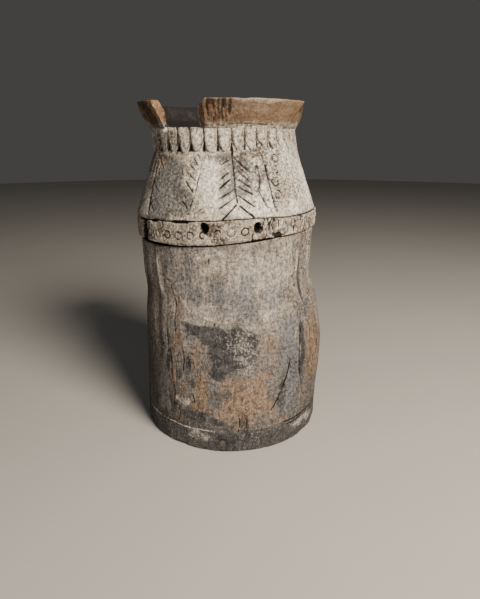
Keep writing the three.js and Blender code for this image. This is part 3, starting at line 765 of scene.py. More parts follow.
# Shoulder: cracks and stains, as the body's
SHOULDER_CRACKS = [([(-54, 279), (-55.4, 292), (-57, 305)], 6.6, 3.6),
                   ([(-56.4, 300), (-57.6, 320), (-58, 340)], 5.0, 3.0),
                   ([(-46.4, 374), (-45.8, 355)], 3.4, 3.0), ([(-59, 306), (-49.5, 321)], 1.4, 1.0),
                   ([(6.1, 350.5), (5.6, 342.5)], 3.6, 2.8), ([(25, 357.5), (24.8, 354)], 3.4, 2.4),
                   ([(35.6, 355), (35.9, 352)], 3.0, 2.0), ([(-54, 337), (-52.5, 318)], 1.5, 1.2),
                   ([(60, 352), (64, 320), (66, 290)], 1.4, 1.0), ([(48, 344), (50, 330)], 1.6, 1.0),
                   ([(186, 350), (189, 318), (187, 286)], 2.2, 2.0), ([(262, 340), (259, 300)], 1.8, 1.6)]
SHOULDER_SLATE = [(13, 331, 6, 14, 0.8), (12, 311, 5, 12, 0.6), (24, 323, 3, 12, 0.6),
                  (30, 310, 3, 20, 0.5), (-40, 308, 13, 34, 1.0), (-50, 300, 8, 30, 0.9),
                  (-26, 296, 8, 14, 0.7), (-4, 342, 9, 5, 0.8), (10, 340, 6, 6, 0.6),
                  (12, 322, 4, 12, 0.5), (-28, 288, 7, 7, 0.5), (150, 310, 18, 26, 0.7),
                  (240, 320, 20, 24, 0.7)]
SHOULDER_PALE = [(-12, 322, 9, 18, 1.0), (-6, 298, 7, 12, 0.7), (14, 294, 14, 11, 0.85),
                 (27, 300, 6, 16, 0.7), (64, 312, 15, 30, 0.85), (48, 300, 6, 20, 0.6),
                 (25, 338, 5, 6, 0.6), (190, 305, 22, 26, 0.7), (290, 315, 14, 24, 0.5),
                 (110, 320, 14, 24, 0.7)]
SHOULDER_RUST = [(-24, 330, 6, 16, 0.3), (-28, 342, 10, 5, 0.3), (24, 342, 10, 7, 0.42),
                 (34, 334, 5, 9, 0.5), (42, 306, 5, 14, 0.5), (50, 318, 6, 20, 0.42),
                 (170, 330, 20, 14, 0.5), (300, 335, 18, 12, 0.5)]
# Shoulder: dirt; the spots at azimuths -80 and -60 also darken the left side as painted shade
SHOULDER_DIRT_AND_SHADE = [(-80, 315, 17, 60, 0.9), (-60, 325, 4, 26, 0.6), (5, 340, 9, 6, 0.5),
                 (12, 329, 6, 9, 0.5), (22, 346, 14, 3, 0.45), (23, 322, 2.0, 7, 0.6),
                 (-24, 302, 4, 8, 0.3), (-48, 342, 10, 4, 0.7), (40, 340, 7, 5, 0.5),
                 (215, 300, 16, 30, 0.5)]
# Band: stains as the body's. The dirt spots at azimuths -80, -56 and -52 also darken the left end round
# the split as painted shade
BAND_DIRT_AND_SHADE = [(-8, 268, 5, 7, 0.9), (29, 273, 2, 5, 0.8), (38, 268, 1.6, 8, 0.8), (49, 266, 2.5, 6, 0.7),
             (57, 270, 1.6, 8, 0.8), (-56, 262, 5, 16, 0.9), (-27, 262, 2, 6, 0.6), (-40, 266, 3, 6, 0.6),
             (-3, 257, 5, 4, 0.8), (33, 263, 6.5, 4.5, 0.95), (-17, 268, 3, 6, 0.7), (26, 270, 5, 5, 0.6),
             (44, 270, 4, 6, 0.6), (-52, 262, 7, 14, 0.9), (64, 268, 4, 8, 0.6), (-80, 262, 12, 20, 0.7),
             (140, 268, 12, 8, 0.7), (205, 262, 10, 9, 0.7)]
# Band: chips as (azimuth, height, half width, half height, depth, darkness); the darkness is painted
# shade in the chip
BAND_CHIPS = [(32.5, 261, 4.4, 4.2, 2.4, 0.9), (-8, 268.5, 5.5, 7, 2.8, 0.5), (-3.5, 256, 4, 3, 1.2, 0.3),
              (45, 274, 3, 3, 1.2, 0.4), (64, 266, 2, 7, 1.2, 0.3), (150, 256, 5, 4, 2, 0.3),
              (228, 272, 4, 4, 1.6, 0.2), (96, 276, 4, 3, 1.5, 0.2)]
BAND_SLATE = [(-36, 262, 8, 9, 0.7), (-22, 262, 6, 7, 0.5), (20, 262, 4, 5, 0.4), (100, 270, 20, 8, 0.6)]

# Rim: stains as the body's. The dirt spot at azimuth -58 darkens the left shard as painted shade
RIM_RUST = [(56, 388, 6, 9, 0.25), (-58, 385, 5, 12, 0.4)]
RIM_DIRT_AND_SHADE = [(-11.5, 386, 2.0, 17, 1.0), (-4.6, 397, 2.6, 3, 0.8), (3, 396, 1.2, 6, 0.8),
            (6, 392, 1.0, 8, 0.7), (63, 393, 3, 5, 0.5), (-58, 386, 10, 18, 0.5),
            (20, 375.4, 26, 0.8, 0.5), (180, 390, 30, 9, 0.5), (250, 385, 20, 12, 0.5)]
RIM_PALE = [(24, 397, 20, 2.4, 0.3), (120, 378, 30, 5, 0.5), (275, 378, 20, 4, 0.4)]


# Spigot and hollow of the body, from the ledge down to the floor, as (radius, height)
BODY_INSIDE = [
    (SPIGOT_RADIUS, 262), (SPIGOT_RADIUS, SPIGOT_TOP - 1.5), (SPIGOT_RADIUS - 1.5, SPIGOT_TOP),
    *[(CAVITY_RADIUS, z) for z in (SPIGOT_TOP, 265, 245, 225, LEAN_TO)],
    (91.4, 195), (92.4, 185), (93.2, 175),
    *[(CAVITY_FOOT, z) for z in (LEAN_FROM, 140, 110, 80, 50, 30, REBATE_TOP)],
    (REBATE_RADIUS, REBATE_TOP), (REBATE_RADIUS, 0.8), (REBATE_RADIUS + 0.8, 0)]


def body_relief(azimuth, height):
    """How far cracks, ridges and wear move the body's outside in or out, and how dark they are:
    painted shade, with some dirt, in the cracks and the foot lines.
    """
    p = round_point(azimuth, height, BODY_ROUND)
    out = clouds(p, (55, 55, 80), 1) * 0.9 + clouds(p, (9, 9, 45), 2) * 0.45
    out = out - 1.6 * smooth(12, 0, height) * smooth(0.1, 0.7, clouds(p, (16, 16, 10), 7))
    dark = np.zeros_like(out)
    wobble = clouds(p, 7, 8) * 1.1
    for points, width, depth in CRACKS:
        deep = cut(azimuth + wobble * 0.5, height, points, BODY_ROUND, width, taper=0.75)
        out, dark = out - depth * deep, np.maximum(dark, smooth(0.15, 0.7, deep))
    for points, width, depth in RIDGES:
        raised = cut(azimuth + wobble * 0.4, height, points, radius=108, width=width, taper=0.6)
        out = out + depth * raised ** 0.7
    out = out - 1.3 * spot(azimuth, height, (56, 205), 3, 42)
    out = out + (0.9 + clouds(p, (4, 4, 24), 9) * 1.1) * spot(azimuth, height, (63, 112), 13, 52)
    for level, (start, end), strength in FOOT_LINES:
        along = turn(azimuth - 90) + 90
        shown = smooth(start - 2, start + 3, along) * smooth(end + 2, end - 3, along)
        deep = np.clip(1 - np.abs(height - level - wobble * 0.35) / 1.5, 0, 1) * shown * strength
        out, dark = out - FOOT_LINE_DEPTH * deep, np.maximum(dark, smooth(0.1, 0.7, deep))
    return out, dark


def body_wall(weather, finish):
    azimuth = all_round(BODY_COLUMNS)
    level = 0 * azimuth
    ledge = band_foot(azimuth) - joint_gap(azimuth) / 2
    low = np.array([0.0, 0.8, 1.6, 2.6])[:, None] + level
    foot = rows_between(3.6 + level, 32 + level, FOOT_ROWS)
    height = stack(low, foot, rows_between(32 + level, ledge - 1.4, BODY_ROWS, True))
    az = azimuth + 0 * height
    relief, dark = body_relief(az, height)
    swell = np.exp(-(turn(az - 90) / BULGE_ANGLE) ** 2 - ((height - BULGE_HEIGHT) / BULGE_REACH) ** 2)
    reach = outline_radius(BODY_OUTLINE, height) + BULGE_OUT * swell + relief
    reach = reach - np.maximum(0, FOOT_EDGE - height)
    for place in range(6):
        aside = turn(az - FOOT_PEG_PHASE - FOOT_PEG_STEP * place) * math.radians(FOOT_RADIUS)
        peg = np.hypot(aside, height - FOOT_PEG_RISE)
        reach = reach - FOOT_PEG_DEPTH * smooth(5.0, 4.2, peg)
        # Painted shade in the peg holes
        dark = np.maximum(dark, smooth(5.2, 4.6, peg) * 0.35)
    edge = reach[-1]
    rest_reach, rest_height = single_rows(BODY_COLUMNS, [
        (edge - 1.4, ledge), (edge - 5, ledge), (SPIGOT_RADIUS, ledge), *BODY_INSIDE])
    rest_az = azimuth + 0 * rest_height
    hewn = clouds(round_point(rest_az, rest_height, 92), (22, 22, 16), 11) * 0.8
    hollow = (rest_reach < CAVITY_FOOT + 0.5) & (rest_height > 24) & (rest_height < 279)
    rest_reach = rest_reach + np.where(hollow, hewn, 0)
    all_height = stack(height, rest_height)
    axis = FOOT_AXIS - LEAN_LEFT * smooth(LEAN_FROM, LEAN_TO, all_height)
    piece = ring_mesh("body_wall", azimuth, stack(reach, rest_reach), all_height, axis)
    outer = stack(np.ones_like(height), np.zeros_like(rest_height))
    az = azimuth + 0 * all_height
    p = round_point(az, all_height, BODY_ROUND)
    for label, spots, seed, wander, share in [
            ("char", SOOT, 21, 5.0, 1.0), ("ochre", OCHRE, 22, 5.0, 0.72), ("tan", TAN, 23, 5.0, 0.72),
            ("slate", SLATE, 24, 5.0, 1.0), ("pale", CHALK, 25, 5.0, 1.0), ("scar_and_highlight", SCARS_AND_HIGHLIGHTS, 27, 1.5, 1.0)]:
        keep_maps(piece, **{label: share * painted(az, all_height, spots, seed, wander) * outer})
    to_the_right = smooth(28, 48, az) * smooth(110, 80, az)
    powder = 0.8 * spot(az, all_height, (6, 128), 10, 24) + 0.12 * smooth(50, 20, all_height)
    keep_maps(
        piece,
        # Dirt, with painted shade on the left side and on the inner faces
        grime=painted(az, all_height, BODY_DIRT_AND_SHADE, 26) * outer + 0.6 * (1 - outer),
        # Painted shade in cracks, foot lines and peg holes, and near-black on the spigot under the band
        crack=stack(dark, np.where(rest_height > 240, 0.8, 0.0)),
        # Painted shade on the inner faces
        inside=0.85 * (1 - outer),
        # Painted shade: darker towards the bottom, and more so at the foot
        low=smooth(185, 60, all_height) * outer,
        foot=smooth(52, 8, all_height) * outer,
        speck=0.22 + 0.24 * clouds(p, 34, 28, 3) + 0.1 * to_the_right,
        fleck=0.17 + 0.18 * clouds(p, 30, 29, 3) + 0.22 * powder)
    weathered(piece, weather, finish, grain=(0.42, 3.2), pits=(1.1, 6), seed=1.0)
    co = vertices_of(piece)
    co[:, 2] = np.maximum(co[:, 2], 0)
    move_vertices(piece, co)
    return piece


def frond(azimuth, height, at, grow=1.0):
    """One carved frond: its stem, bars and foot, turned to an azimuth. grow widens its cuts."""
    az = azimuth - at
    deep = cut(az, height, FROND_STEM, radius=95, width=3.6 * grow, taper=0.3)
    for bar, depth in FROND_BARS:
        stroke = cut(az, height, bar, radius=92, width=4.0 * grow, taper=0.6)
        deep = np.maximum(deep, depth * stroke)
    for leg in FROND_FOOT:
        stroke = cut(az, height, leg, radius=102, width=3.9 * grow, taper=0.1)
        deep = np.maximum(deep, stroke)
    return deep


def spears(azimuth, height, at, grow=1.0):
    deep = np.zeros(np.shape(azimuth))
    for line in SPEARS:
        stroke = cut(azimuth - at, height, line, radius=94, width=3.8 * grow, taper=0.4)
        deep = np.maximum(deep, stroke)
    return deep


def ring_cuts(azimuth, height, at):
    """Small incised circles, worn unevenly."""
    deep = np.zeros(np.shape(azimuth))
    for centre, level, radius, strength in RINGS:
        away = np.hypot(turn(azimuth - at - centre) * math.radians(94), height - level)
        deep = np.maximum(deep, strength * np.clip(1 - np.abs(away - radius) / 1.5, 0, 1))
    return deep


def shoulder_relief(azimuth, height):
    """Carving, cracks and wear of the shoulder: depth in mm, and how dark each place is, the dark
    being painted shade in the cuts, cracks and gaps between petal tips, with some dirt.
    """
    p = round_point(azimuth, height, SHOULDER_ROUND)
    out = clouds(p, (45, 45, 30), 31) * 0.8 + clouds(p, (8, 8, 12), 32) * 0.35
    az = azimuth + clouds(p, 14, 33) * 0.35
    z = height + clouds(p, 14, 34) * 0.5
    right = right_side(azimuth)
    deep = np.maximum(frond(az, z, 0), spears(az, z, 0))
    chipped = smooth(-0.45, 0.2, clouds(p, 4.5, 36))
    deep = np.maximum(deep, np.minimum(1, ring_cuts(az, z, 0) * (0.7 + 0.9 * chipped)))
    for line in FAINT_FROND:
        deep = np.maximum(deep, cut(az, z, line, radius=94, width=3.0, taper=0.5) * 0.8)
    for at, strength in MORE_FRONDS:
        deep = np.maximum(deep, frond(az, z, at) * strength)
        deep = np.maximum(deep, np.maximum(spears(az, z, at), ring_cuts(az, z, at)) * strength * 0.6)
    worn = smooth(-0.7, 0.25, clouds(p, 7, 35))
    deep = deep * (0.45 + 0.55 * worn)
    # Painted shade in the carved cuts, darker near the frond's foot
    dark = smooth(0.1, 0.6, deep) * (0.68 + 0.3 * spot(az, z, (8, 285), 14, 12))
    out = out - CARVING_DEPTH * deep
    out = out + CARVING_BURR * smooth(0.0, 0.25, deep) * smooth(0.5, 0.2, deep)
    straight = azimuth + upright(azimuth, height)
    off_edge = np.min(np.abs(turn(straight[..., None] - petal_edges())), -1) * math.radians(85)
    left = spot(azimuth, 0, (-44, 0), 24, 1)
    open_tips = smooth(359, 347.5, height - right * 3) * (1.5 + 1.5 * left - 1.0 * right)
    between = smooth(0.8 + open_tips, 0.1 + 0.8 * open_tips, off_edge)
    between = between * smooth(346.2, 348.6, height - right * 3.6)
    between = between * (1 - 0.75 * smooth(40, 60, azimuth) * smooth(150, 110, azimuth))
    # Painted shade in the gaps between the petal tips, darkest on the left
    out, dark = out - PETAL_GROOVE * between, np.maximum(dark, between * (0.8 + 0.2 * left))
    for points, width, depth in SHOULDER_CRACKS:
        crack = cut(az, z, points, radius=92, width=width, taper=0.7)
        out, dark = out - depth * crack, np.maximum(dark, smooth(0.15, 0.7, crack))
    return out, dark


def right_side(azimuth):
    """1 on the right of the neck, where the petals end lower, and 0 elsewhere."""
    return smooth(8, 24, azimuth) * smooth(150, 100, azimuth)


def upright(azimuth, height):
    """Degrees that take the neck's lean out again, so that the petals hang straight down."""
    return np.degrees(NECK_LEAN * (0.5 - smooth(NECK_FROM, NECK_TO, height))
                      * np.cos(np.radians(azimuth)) / PETAL_ROUND)


def line_gaps(azimuth):
    """Where the line over the band gapes."""
    gaps = [0.7 * spot(azimuth, 0, (-64, 0), 9, 1), spot(azimuth, 0, (-45, 0), 4, 1, 0.3),
            spot(azimuth, 0, (-26, 0), 5.5, 1, 0.3)]
    return np.max(gaps, 0)


def neck_axis(height):
    return JOINT_AXIS - NECK_LEAN * smooth(NECK_FROM, NECK_TO, height)


def gap_floor(azimuth):
    """Top of the shoulder wall: whole under the rim, broken down to the petals in the gap."""
    whole, broken, notch_depth = 375.0, 370.4, 12.5
    az, p = turn(azimuth), round_point(azimuth, 0 * azimuth, 85)
    ragged = broken + clouds(p, 5, 41) * 0.9 + 0.7 * np.cos(np.radians(turn(azimuth + 9) * 36))
    inside = smooth(BREAK_LEFT - 0.2, BREAK_LEFT + 0.5, az) * smooth(-12.9, -13.8, az)
    notch = notch_depth * np.clip(1 - np.abs(az - BREAK_LEFT - 0.4) / 1.9, 0, 1) ** 0.8
    return whole + (ragged - whole) * inside - notch


def shoulder_wall(weather, finish):
    azimuth = all_round(SHOULDER_COLUMNS)
    foot, top = band_top(azimuth) - 1.3, gap_floor(azimuth)
    height = rows_between(foot, top - 0.6, SHOULDER_ROWS, True)
    az = azimuth + 0 * height
    relief, dark = shoulder_relief(az, height)
    over_line = height - band_top(az)
    gapes = 1.3 * line_gaps(az) * (0.7 + 0.5 * clouds(round_point(az, 0 * az), 6, 89, 3))
    reach = outline_radius(SLOPE_OUTLINE, height) + relief
    reach = reach - (2.4 + gapes) * smooth(1.3 + gapes, -0.3, over_line)
    # Painted shade in the open line over the band, darkest where it gapes
    ajar = smooth(1.1 + gapes, 0.2 + gapes, over_line)
    dark = np.maximum(dark, ajar * (0.75 + 0.25 * line_gaps(az)))
    edge, bore = reach[-1], outline_radius(BORE_OUTLINE, top)
    rough = clouds(round_point(azimuth, top, 80), 4, 44) * 0.8
    edge_reach, edge_height = single_rows(SHOULDER_COLUMNS, [
        (edge - 1.0, top), (edge - 3.2, top + rough * 0.5), ((edge + bore) / 2, top + rough),
        (bore + 2.4, top + rough * 0.6 - 0.4), (bore + 0.6, top - 1.2)])
    inner_height = rows_between(top - 2.5, SPIGOT_TOP + 0.4 + 0 * top, 22, True)
    hewn = clouds(round_point(azimuth + 0 * inner_height, inner_height, 85), (16, 16, 12), 45) * 0.6
    inner_reach = outline_radius(BORE_OUTLINE, inner_height) + hewn
    under_reach, under_height = single_rows(SHOULDER_COLUMNS, [
        (99.0, SPIGOT_TOP - 0.8), (105.0, foot - 0.4)])
    reach = stack(reach, edge_reach, inner_reach, under_reach)
    all_height = stack(height, edge_height, inner_height, under_height)
    piece = ring_mesh("shoulder_wall", azimuth, reach, all_height, neck_axis(all_height))
    rest = np.zeros_like(all_height[len(height):])
    outer = stack(np.ones_like(height), rest)
    az = azimuth + 0 * all_height
    p = round_point(az, all_height)
    # A wide dark smudge round the frond's bars and spears: dirt, and painted shade under the chip-carved
    # bars
    smudge_and_shade = np.maximum(frond(az, all_height, 0, 3.6), spears(az, all_height, 0, 3.0))
    low_dots = 0.7 * spot(az, all_height, (44, 300), 20, 30)
    dotted = np.maximum(spot(az, all_height, (33, 340), 34, 24), low_dots)
    worn = 0.16 * spot(az, all_height, (-34, 300), 18, 40)
    to_the_right = smooth(32, 48, az) * smooth(110, 80, az)
    keep_maps(
        piece,
        pale=painted(az, all_height, SHOULDER_PALE, 47) * outer,
        rust=painted(az, all_height, SHOULDER_RUST, 48) * outer,
        slate=np.maximum(painted(az, all_height, SHOULDER_SLATE, 46), smudge_and_shade) * outer,
        # Dirt, and painted shade on the left side and on the inner faces
        grime=painted(az, all_height, SHOULDER_DIRT_AND_SHADE, 49, 3) * outer + 0.9 * (1 - outer),
        crack=stack(dark, rest),
        speck=0.28 + 0.24 * clouds(p, 26, 39, 3) + 0.3 * dotted + worn + 0.06 * to_the_right,
        fleck=0.26 + 0.2 * clouds(p, 20, 88, 3) + 0.14 * dotted - worn,
        # Painted shade on the inner faces
        inside=0.9 * (1 - outer))
    return weathered(piece, weather, finish, grain=(0.26, 3.0), pits=(0.8, 5), seed=2.0)


def roundels(azimuth, height, p):
    """How deep the band's incised circles are, from 0 to 1, and how far off their centres."""
    pitch = 360 / ROUNDEL_COUNT
    number = np.round((azimuth - FRONT_ROUNDEL) / pitch)
    aside = (azimuth - FRONT_ROUNDEL - number * pitch) * math.radians(BAND_RADIUS)
    above = height - band_foot(azimuth) - ROUNDEL_RISE
    away = np.hypot(aside, above + clouds(p, 20, 53) * 0.7)
    in_front = np.abs(turn(azimuth - FRONT_ROUNDEL)) < pitch / 2
    cut_well = 0.8 + 0.2 * scatter(np.mod(number, ROUNDEL_COUNT).astype(np.int64), 3, 5, 9)
    cut_well = np.where(in_front, 1.0, cut_well)
    unworn = np.maximum(smooth(-0.4, 0.2, clouds(p, 4, 68)), cut_well > 0.999)
    scored_over = smooth(23, 28, turn(azimuth)) * smooth(76, 70, turn(azimuth))
    cut_well = cut_well * (0.4 + 0.6 * unworn) * (1 - scored_over)
    return cut_well * np.clip(1 - np.abs(away - ROUNDEL_RADIUS) / 1.15, 0, 1), away


def band_relief(azimuth, height):
    """Roundels, holes, the split and chips of the band: depth in mm, and how dark they are, the dark
    being painted shade in the cuts, holes, split, chips and open line, with some dirt.
    """
    per_degree = math.radians(BAND_RADIUS)
    p = round_point(azimuth, height, BAND_RADIUS)
    out = clouds(p, (30, 30, 14), 51) * 0.5 + clouds(p, (5, 5, 7), 52) * 0.35
    groove, away = roundels(azimuth, height, p)
    out = out - ROUNDEL_DEPTH * groove + ROUNDEL_DOME * smooth(ROUNDEL_RADIUS - 0.4, 1.0, away)
    # Painted shade in the roundels' grooves
    dark = smooth(0.15, 0.6, groove) * 0.85
    for at, level, half_width, half_height in HOLES:
        d = np.hypot(turn(azimuth - at) * per_degree / half_width, (height - level) / half_height)
        d = d + clouds(p, 4, 54) * 0.08
        # Painted shade in the empty peg holes
        out, dark = out - HOLE_DEPTH * smooth(1.06, 0.9, d), np.maximum(dark, 0.82 * smooth(1.1, 0.96, d))
    for place in range(2, 12):
        aside = turn(azimuth - BAND_PEG_PHASE - BAND_PEG_STEP * place) * per_degree
        peg = np.hypot(aside, height - BODY_HEIGHT - BAND_PEG_RISE)
        out = out - BAND_PEG_DEPTH * smooth(5.2, 4.8, peg)
        # Painted shade round the pegs' ends
        dark = np.maximum(dark, smooth(5.8, 4.9, peg) * 0.5)
    down = np.clip((band_top(azimuth) - height) / 26, 0, 1)
    half = (SPLIT_TOP_WIDTH + (SPLIT_FOOT_WIDTH - SPLIT_TOP_WIDTH) * down) / 2
    slot = np.abs(turn(azimuth - SPLIT_AZIMUTH)) * per_degree + clouds(p, 6, 55) * 0.6
    out = out - HOLE_DEPTH * smooth(half + 0.5, half - 0.5, slot)
    # Painted shade in and beside the split
    dark = np.maximum(dark, smooth(half + 2.4, half + 0.6, slot))
    ragged = azimuth + clouds(p, 5, 56, 3) * 3, height + clouds(p, 5, 46, 3) * 3
    for at, level, wide, tall, depth, soot_and_shade in BAND_CHIPS:
        chipped = spot(*ragged, (at, level), wide, tall, 0.3)
        out = out - depth * chipped * (0.8 + 0.4 * clouds(p, 3, 57))
        # Painted shade in each chip
        dark = np.maximum(dark, smooth(0.4, 0.9, chipped) * soot_and_shade)
    under = height - band_foot(azimuth)
    out = out - 1.4 * smooth(3.0, 0.0, under + clouds(p, 8, 58) * 1.0)
    scored = spot(azimuth, 0, (44, 0), 26, 1)
    scratches = clouds(p + clouds(p, 6, 69)[..., None] * 2, (1.7, 1.7, 8), 59, 3)
    nicks = smooth(0.22 - 0.2 * scored, 0.44 - 0.12 * scored, scratches)
    nicks = nicks * smooth(-0.1, 0.5, clouds(p, 16, 64) + 0.8 * scored)
    out, dark = out - NICK_DEPTH * nicks, np.maximum(dark, nicks * 0.9)
    below_top = band_top(azimuth) - height
    gappy = line_gaps(azimuth)
    gappy = np.maximum(gappy, 0.6 * smooth(0.1, 0.5, clouds(p * [1, 1, 0], 14, 60)))
    open_line = smooth(0.9 + 2.6 * gappy, 0.4 * gappy, below_top)
    out = out - (1.8 + 2.2 * gappy) * open_line
    # Painted shade in the open line under the band's top
    dark = np.maximum(dark, smooth(0.3, 0.9, open_line) * (0.75 + 0.25 * gappy))
    return out, dark


def band_skirt(weather, finish):
    azimuth = all_round(BAND_COLUMNS)
    foot, top = band_foot(azimuth) + joint_gap(azimuth) / 2, band_top(azimuth)
    height = rows_between(foot, top + 0.2, BAND_ROWS, True)
    relief, dark = band_relief(azimuth + 0 * height, height)
    over_reach, over_height = single_rows(BAND_COLUMNS, [(104.5, top + 0.1), (SOCKET_RADIUS, SPIGOT_TOP)])
    inner_height = rows_between(278.0 + 0 * foot, foot, 6, True)
    inner_reach = SOCKET_RADIUS + 0 * inner_height
    under_reach, under_height = single_rows(BAND_COLUMNS, [(104.0, foot)])
    reach = stack(BAND_RADIUS + relief, over_reach, inner_reach, under_reach)
    all_height = stack(height, over_height, inner_height, under_height)
    piece = ring_mesh("band_skirt", azimuth, reach, all_height, JOINT_AXIS + 0 * reach)
    rest = np.zeros_like(all_height[len(height):])
    outer = stack(np.ones_like(height), rest)
    az = azimuth + 0 * all_height
    brown = np.maximum(spot(az, all_height, (-9, 267), 6, 10), spot(az, all_height, (-4, 259), 4, 7))
    # Dirt, with painted shade round the split
    grime = np.maximum(painted(az, all_height, BAND_DIRT_AND_SHADE, 62, 3), 0.47 - 0.1 * smooth(0, 30, az))
    keep_maps(
        piece,
        slate=painted(az, all_height, BAND_SLATE, 61, 3) * outer,
        speck=(0.38 + 0.24 * clouds(round_point(az, all_height), 24, 66, 3)) * outer,
        pale=np.clip(0.26 + 0.8 * stack(relief, rest), 0, 0.6) * outer,
        fleck=0.36 * outer,
        # Painted shade on the inner faces
        inside=0.9 * (1 - outer),
        rust=np.maximum(0.54, 0.95 * brown) * outer,
        # Dirt, and painted shade on the inner faces
        grime=grime * outer + 0.9 * (1 - outer),
        # Painted shade in the cuts, holes and split, and near-black on the inner faces, top and underside
        crack=stack(dark, rest + 0.9))
    return weathered(piece, weather, finish, grain=(0.28, 2.4), pits=(0.7, 4), seed=3.0)


def petal_model():
    """One tongue of unit width and length, pillowed, with a round tip, 3 to 4 mm proud."""
    across, down = PETAL_STEPS
    s = np.linspace(-1, 1, across + 1)[None, :]
    t = np.linspace(0, 1, down + 1)[:, None]
    half = 0.5 * (0.9 + 0.1 * smooth(0, 0.2, t)) * np.clip(
        1 - np.clip((t - 0.42) / 0.58, 0, 1) ** 2.0, 0, 1) ** 0.7
    wall = np.interp(t, [0, 0.45, 1], [1.1, -0.5, 1.3])
    proud = np.interp(t, [0, 0.1, 0.4, 0.8, 0.95, 1], [0.2, 1.5, 3.1, 2.8, 1.9, 0])
    sides = np.clip(1 - np.abs(s) ** 3.2, 0, 1) ** 0.55
    ends = np.sin(np.pi * t) ** 0.3
    front = -(wall + proud * sides) * MM
    back = -(wall - 1.3 * sides * ends) * MM
    mesh = bpy.data.meshes.new("petal")
    work = bmesh.new()
    for y, flip in ((front, False), (back, True)):
        grid = [[work.verts.new((half[i, 0] * s[0, j], y[i, j], -t[i, 0]))
                 for j in range(across + 1)] for i in range(down + 1)]
        for i in range(down):
            for j in range(across):
                corners = [grid[i][j], grid[i + 1][j], grid[i + 1][j + 1], grid[i][j + 1]]
                work.faces.new(corners[::-1] if flip else corners)
    bmesh.ops.remove_doubles(work, verts=work.verts, dist=1e-7)
    bmesh.ops.dissolve_degenerate(work, edges=work.edges, dist=1e-7)
    bmesh.ops.recalc_face_normals(work, faces=work.faces)
    work.to_mesh(mesh)
    work.free()
    petal = bpy.data.objects.new("petal", mesh)
    co = vertices_of(petal) * MM
    wide = np.interp(-co[:, 2], t[:, 0], half[:, 0])
    side = np.where(wide > 0.02, np.abs(co[:, 0]) / np.maximum(wide, 0.02), 1)
    keep_maps(petal, side=side, down=-co[:, 2], across=co[:, 0] + 0.5)
    return petal


def petal_edges():
    """Azimuths at which one petal ends and the next begins, as the row of petals has them."""
    even = all_round(PETALS)
    return turn(even + PETAL_PHASE - PETAL_UNEVEN * (1 - np.cos(np.radians(even))))


def petal_collar(weather, finish):
    model = petal_model()
    holder = bpy.data.objects.new("petal_collar", bpy.data.meshes.new("petal_collar"))
    for made in (model, holder):
        bpy.context.collection.objects.link(made)
    through_tree(holder, petal_tree(), {
        "Petal": model, "Count": PETALS, "Axis": RIM_AXIS * MM, "Root radius": PETAL_ROOT_RADIUS * MM,
        "Top": PETAL_TOP * MM, "Length": PETAL_LENGTH * MM, "Gap": PETAL_GAP * 0.6 * MM,
        "Phase": math.radians(PETAL_PHASE), "Unevenness": math.radians(PETAL_UNEVEN), "Seed": 4,
        "Finish": finish})
    bpy.data.objects.remove(model)
    co = vertices_of(holder)
    side, down, across = (read_map(holder, name) for name in ("side", "down", "across"))
    azimuth = np.degrees(np.arctan2(co[:, 0] - RIM_AXIS, -co[:, 1]))
    off = np.hypot(co[:, 0] - RIM_AXIS, co[:, 1])
    p = round_point(azimuth, co[:, 2], PETAL_ROUND)
    right = right_side(azimuth)
    pinch = (across - 0.5) * down ** 3 * (0.8 + 3.0 * right) + clouds(p, 10, 65) * 0.5
    faded = smooth(40, 60, azimuth) * smooth(140, 100, azimuth)
    torn = smooth(-2, 1, co[:, 2] - 376 + (azimuth + 48.6) * 6)
    torn = torn * smooth(-49, -48, azimuth) * smooth(-44.6, -45.4, azimuth)
    off = off - np.clip(off - 85.0, 0, None) * 0.8 * faded - 3.0 * torn
    azimuth = azimuth - np.degrees(pinch / PETAL_ROUND)
    height = co[:, 2] + right * 3.6 * smooth(0.3, 1.0, down)
    azimuth = azimuth - upright(azimuth, height)
    axis = RIM_AXIS + NECK_LEAN * (1 - smooth(NECK_FROM, NECK_TO, height))
    move_vertices(holder, place_round(axis, off, azimuth, height))
    # Painted shadow along each petal's sides and round its tip, weaker on the faded right
    outline = smooth(0.84, 1.0, side) * (0.25 + 0.75 * smooth(0.3, 0.85, down)) * (1 - 0.6 * faded)
    # Painted shade on the left-hand petals
    smudge_and_shade = spot(azimuth, height, (-60, 360), 11, 14)
    keep_maps(
        holder,
        grime=(0.12 + 0.78 * outline + 0.04 * right) * (1 - torn),
        crack=np.where(off < 86.6, outline * 1.1, 0) * (1 - torn),
        pale=np.maximum(0.75 * smooth(0.95, 0.4, side), torn),
        speck=0.4 + 0.25 * clouds(p, 18, 67) - 0.08 * right + 0.2 * faded,
        fleck=0.32 + 0.2 * clouds(p, 14, 85),
        rust=0.4 + 0.16 * right + 0.25 * spot(azimuth, height, (-40, 362), 6, 9),
        slate=0.14 + 0.25 * clouds(p, 14, 63) + 0.6 * smudge_and_shade)
    return weathered(holder, weather, finish, grain=(0.35, 3.4), pits=(0.9, 5), seed=5.0)


def break_edge(height):
    """Azimuth of the break's right side at a height."""
    return np.interp(height, *zip(*BREAK_RIGHT))


def lip_height(azimuth):
    """The lip's top: level, chipped, dipped on the left and a little on the right."""
    p = round_point(azimuth, 0 * azimuth, RIM_ROUND)
    aside = turn(azimuth - DIP_AZIMUTH) * math.radians(RIM_ROUND)
    dip = np.clip(DIP_RADIUS ** 2 - aside ** 2, 0, None) ** 0.5 - DIP_ABOVE
    right = 4.6 * smooth(20, 4, np.abs(turn(azimuth - 90)))
    chips = 0.5 * smooth(0.1, 0.7, clouds(p, 5, 71)) + 0.35 * clouds(p, 12, 72) + 0.35
    return RIM_TOP - np.maximum(dip, 0) - right - chips


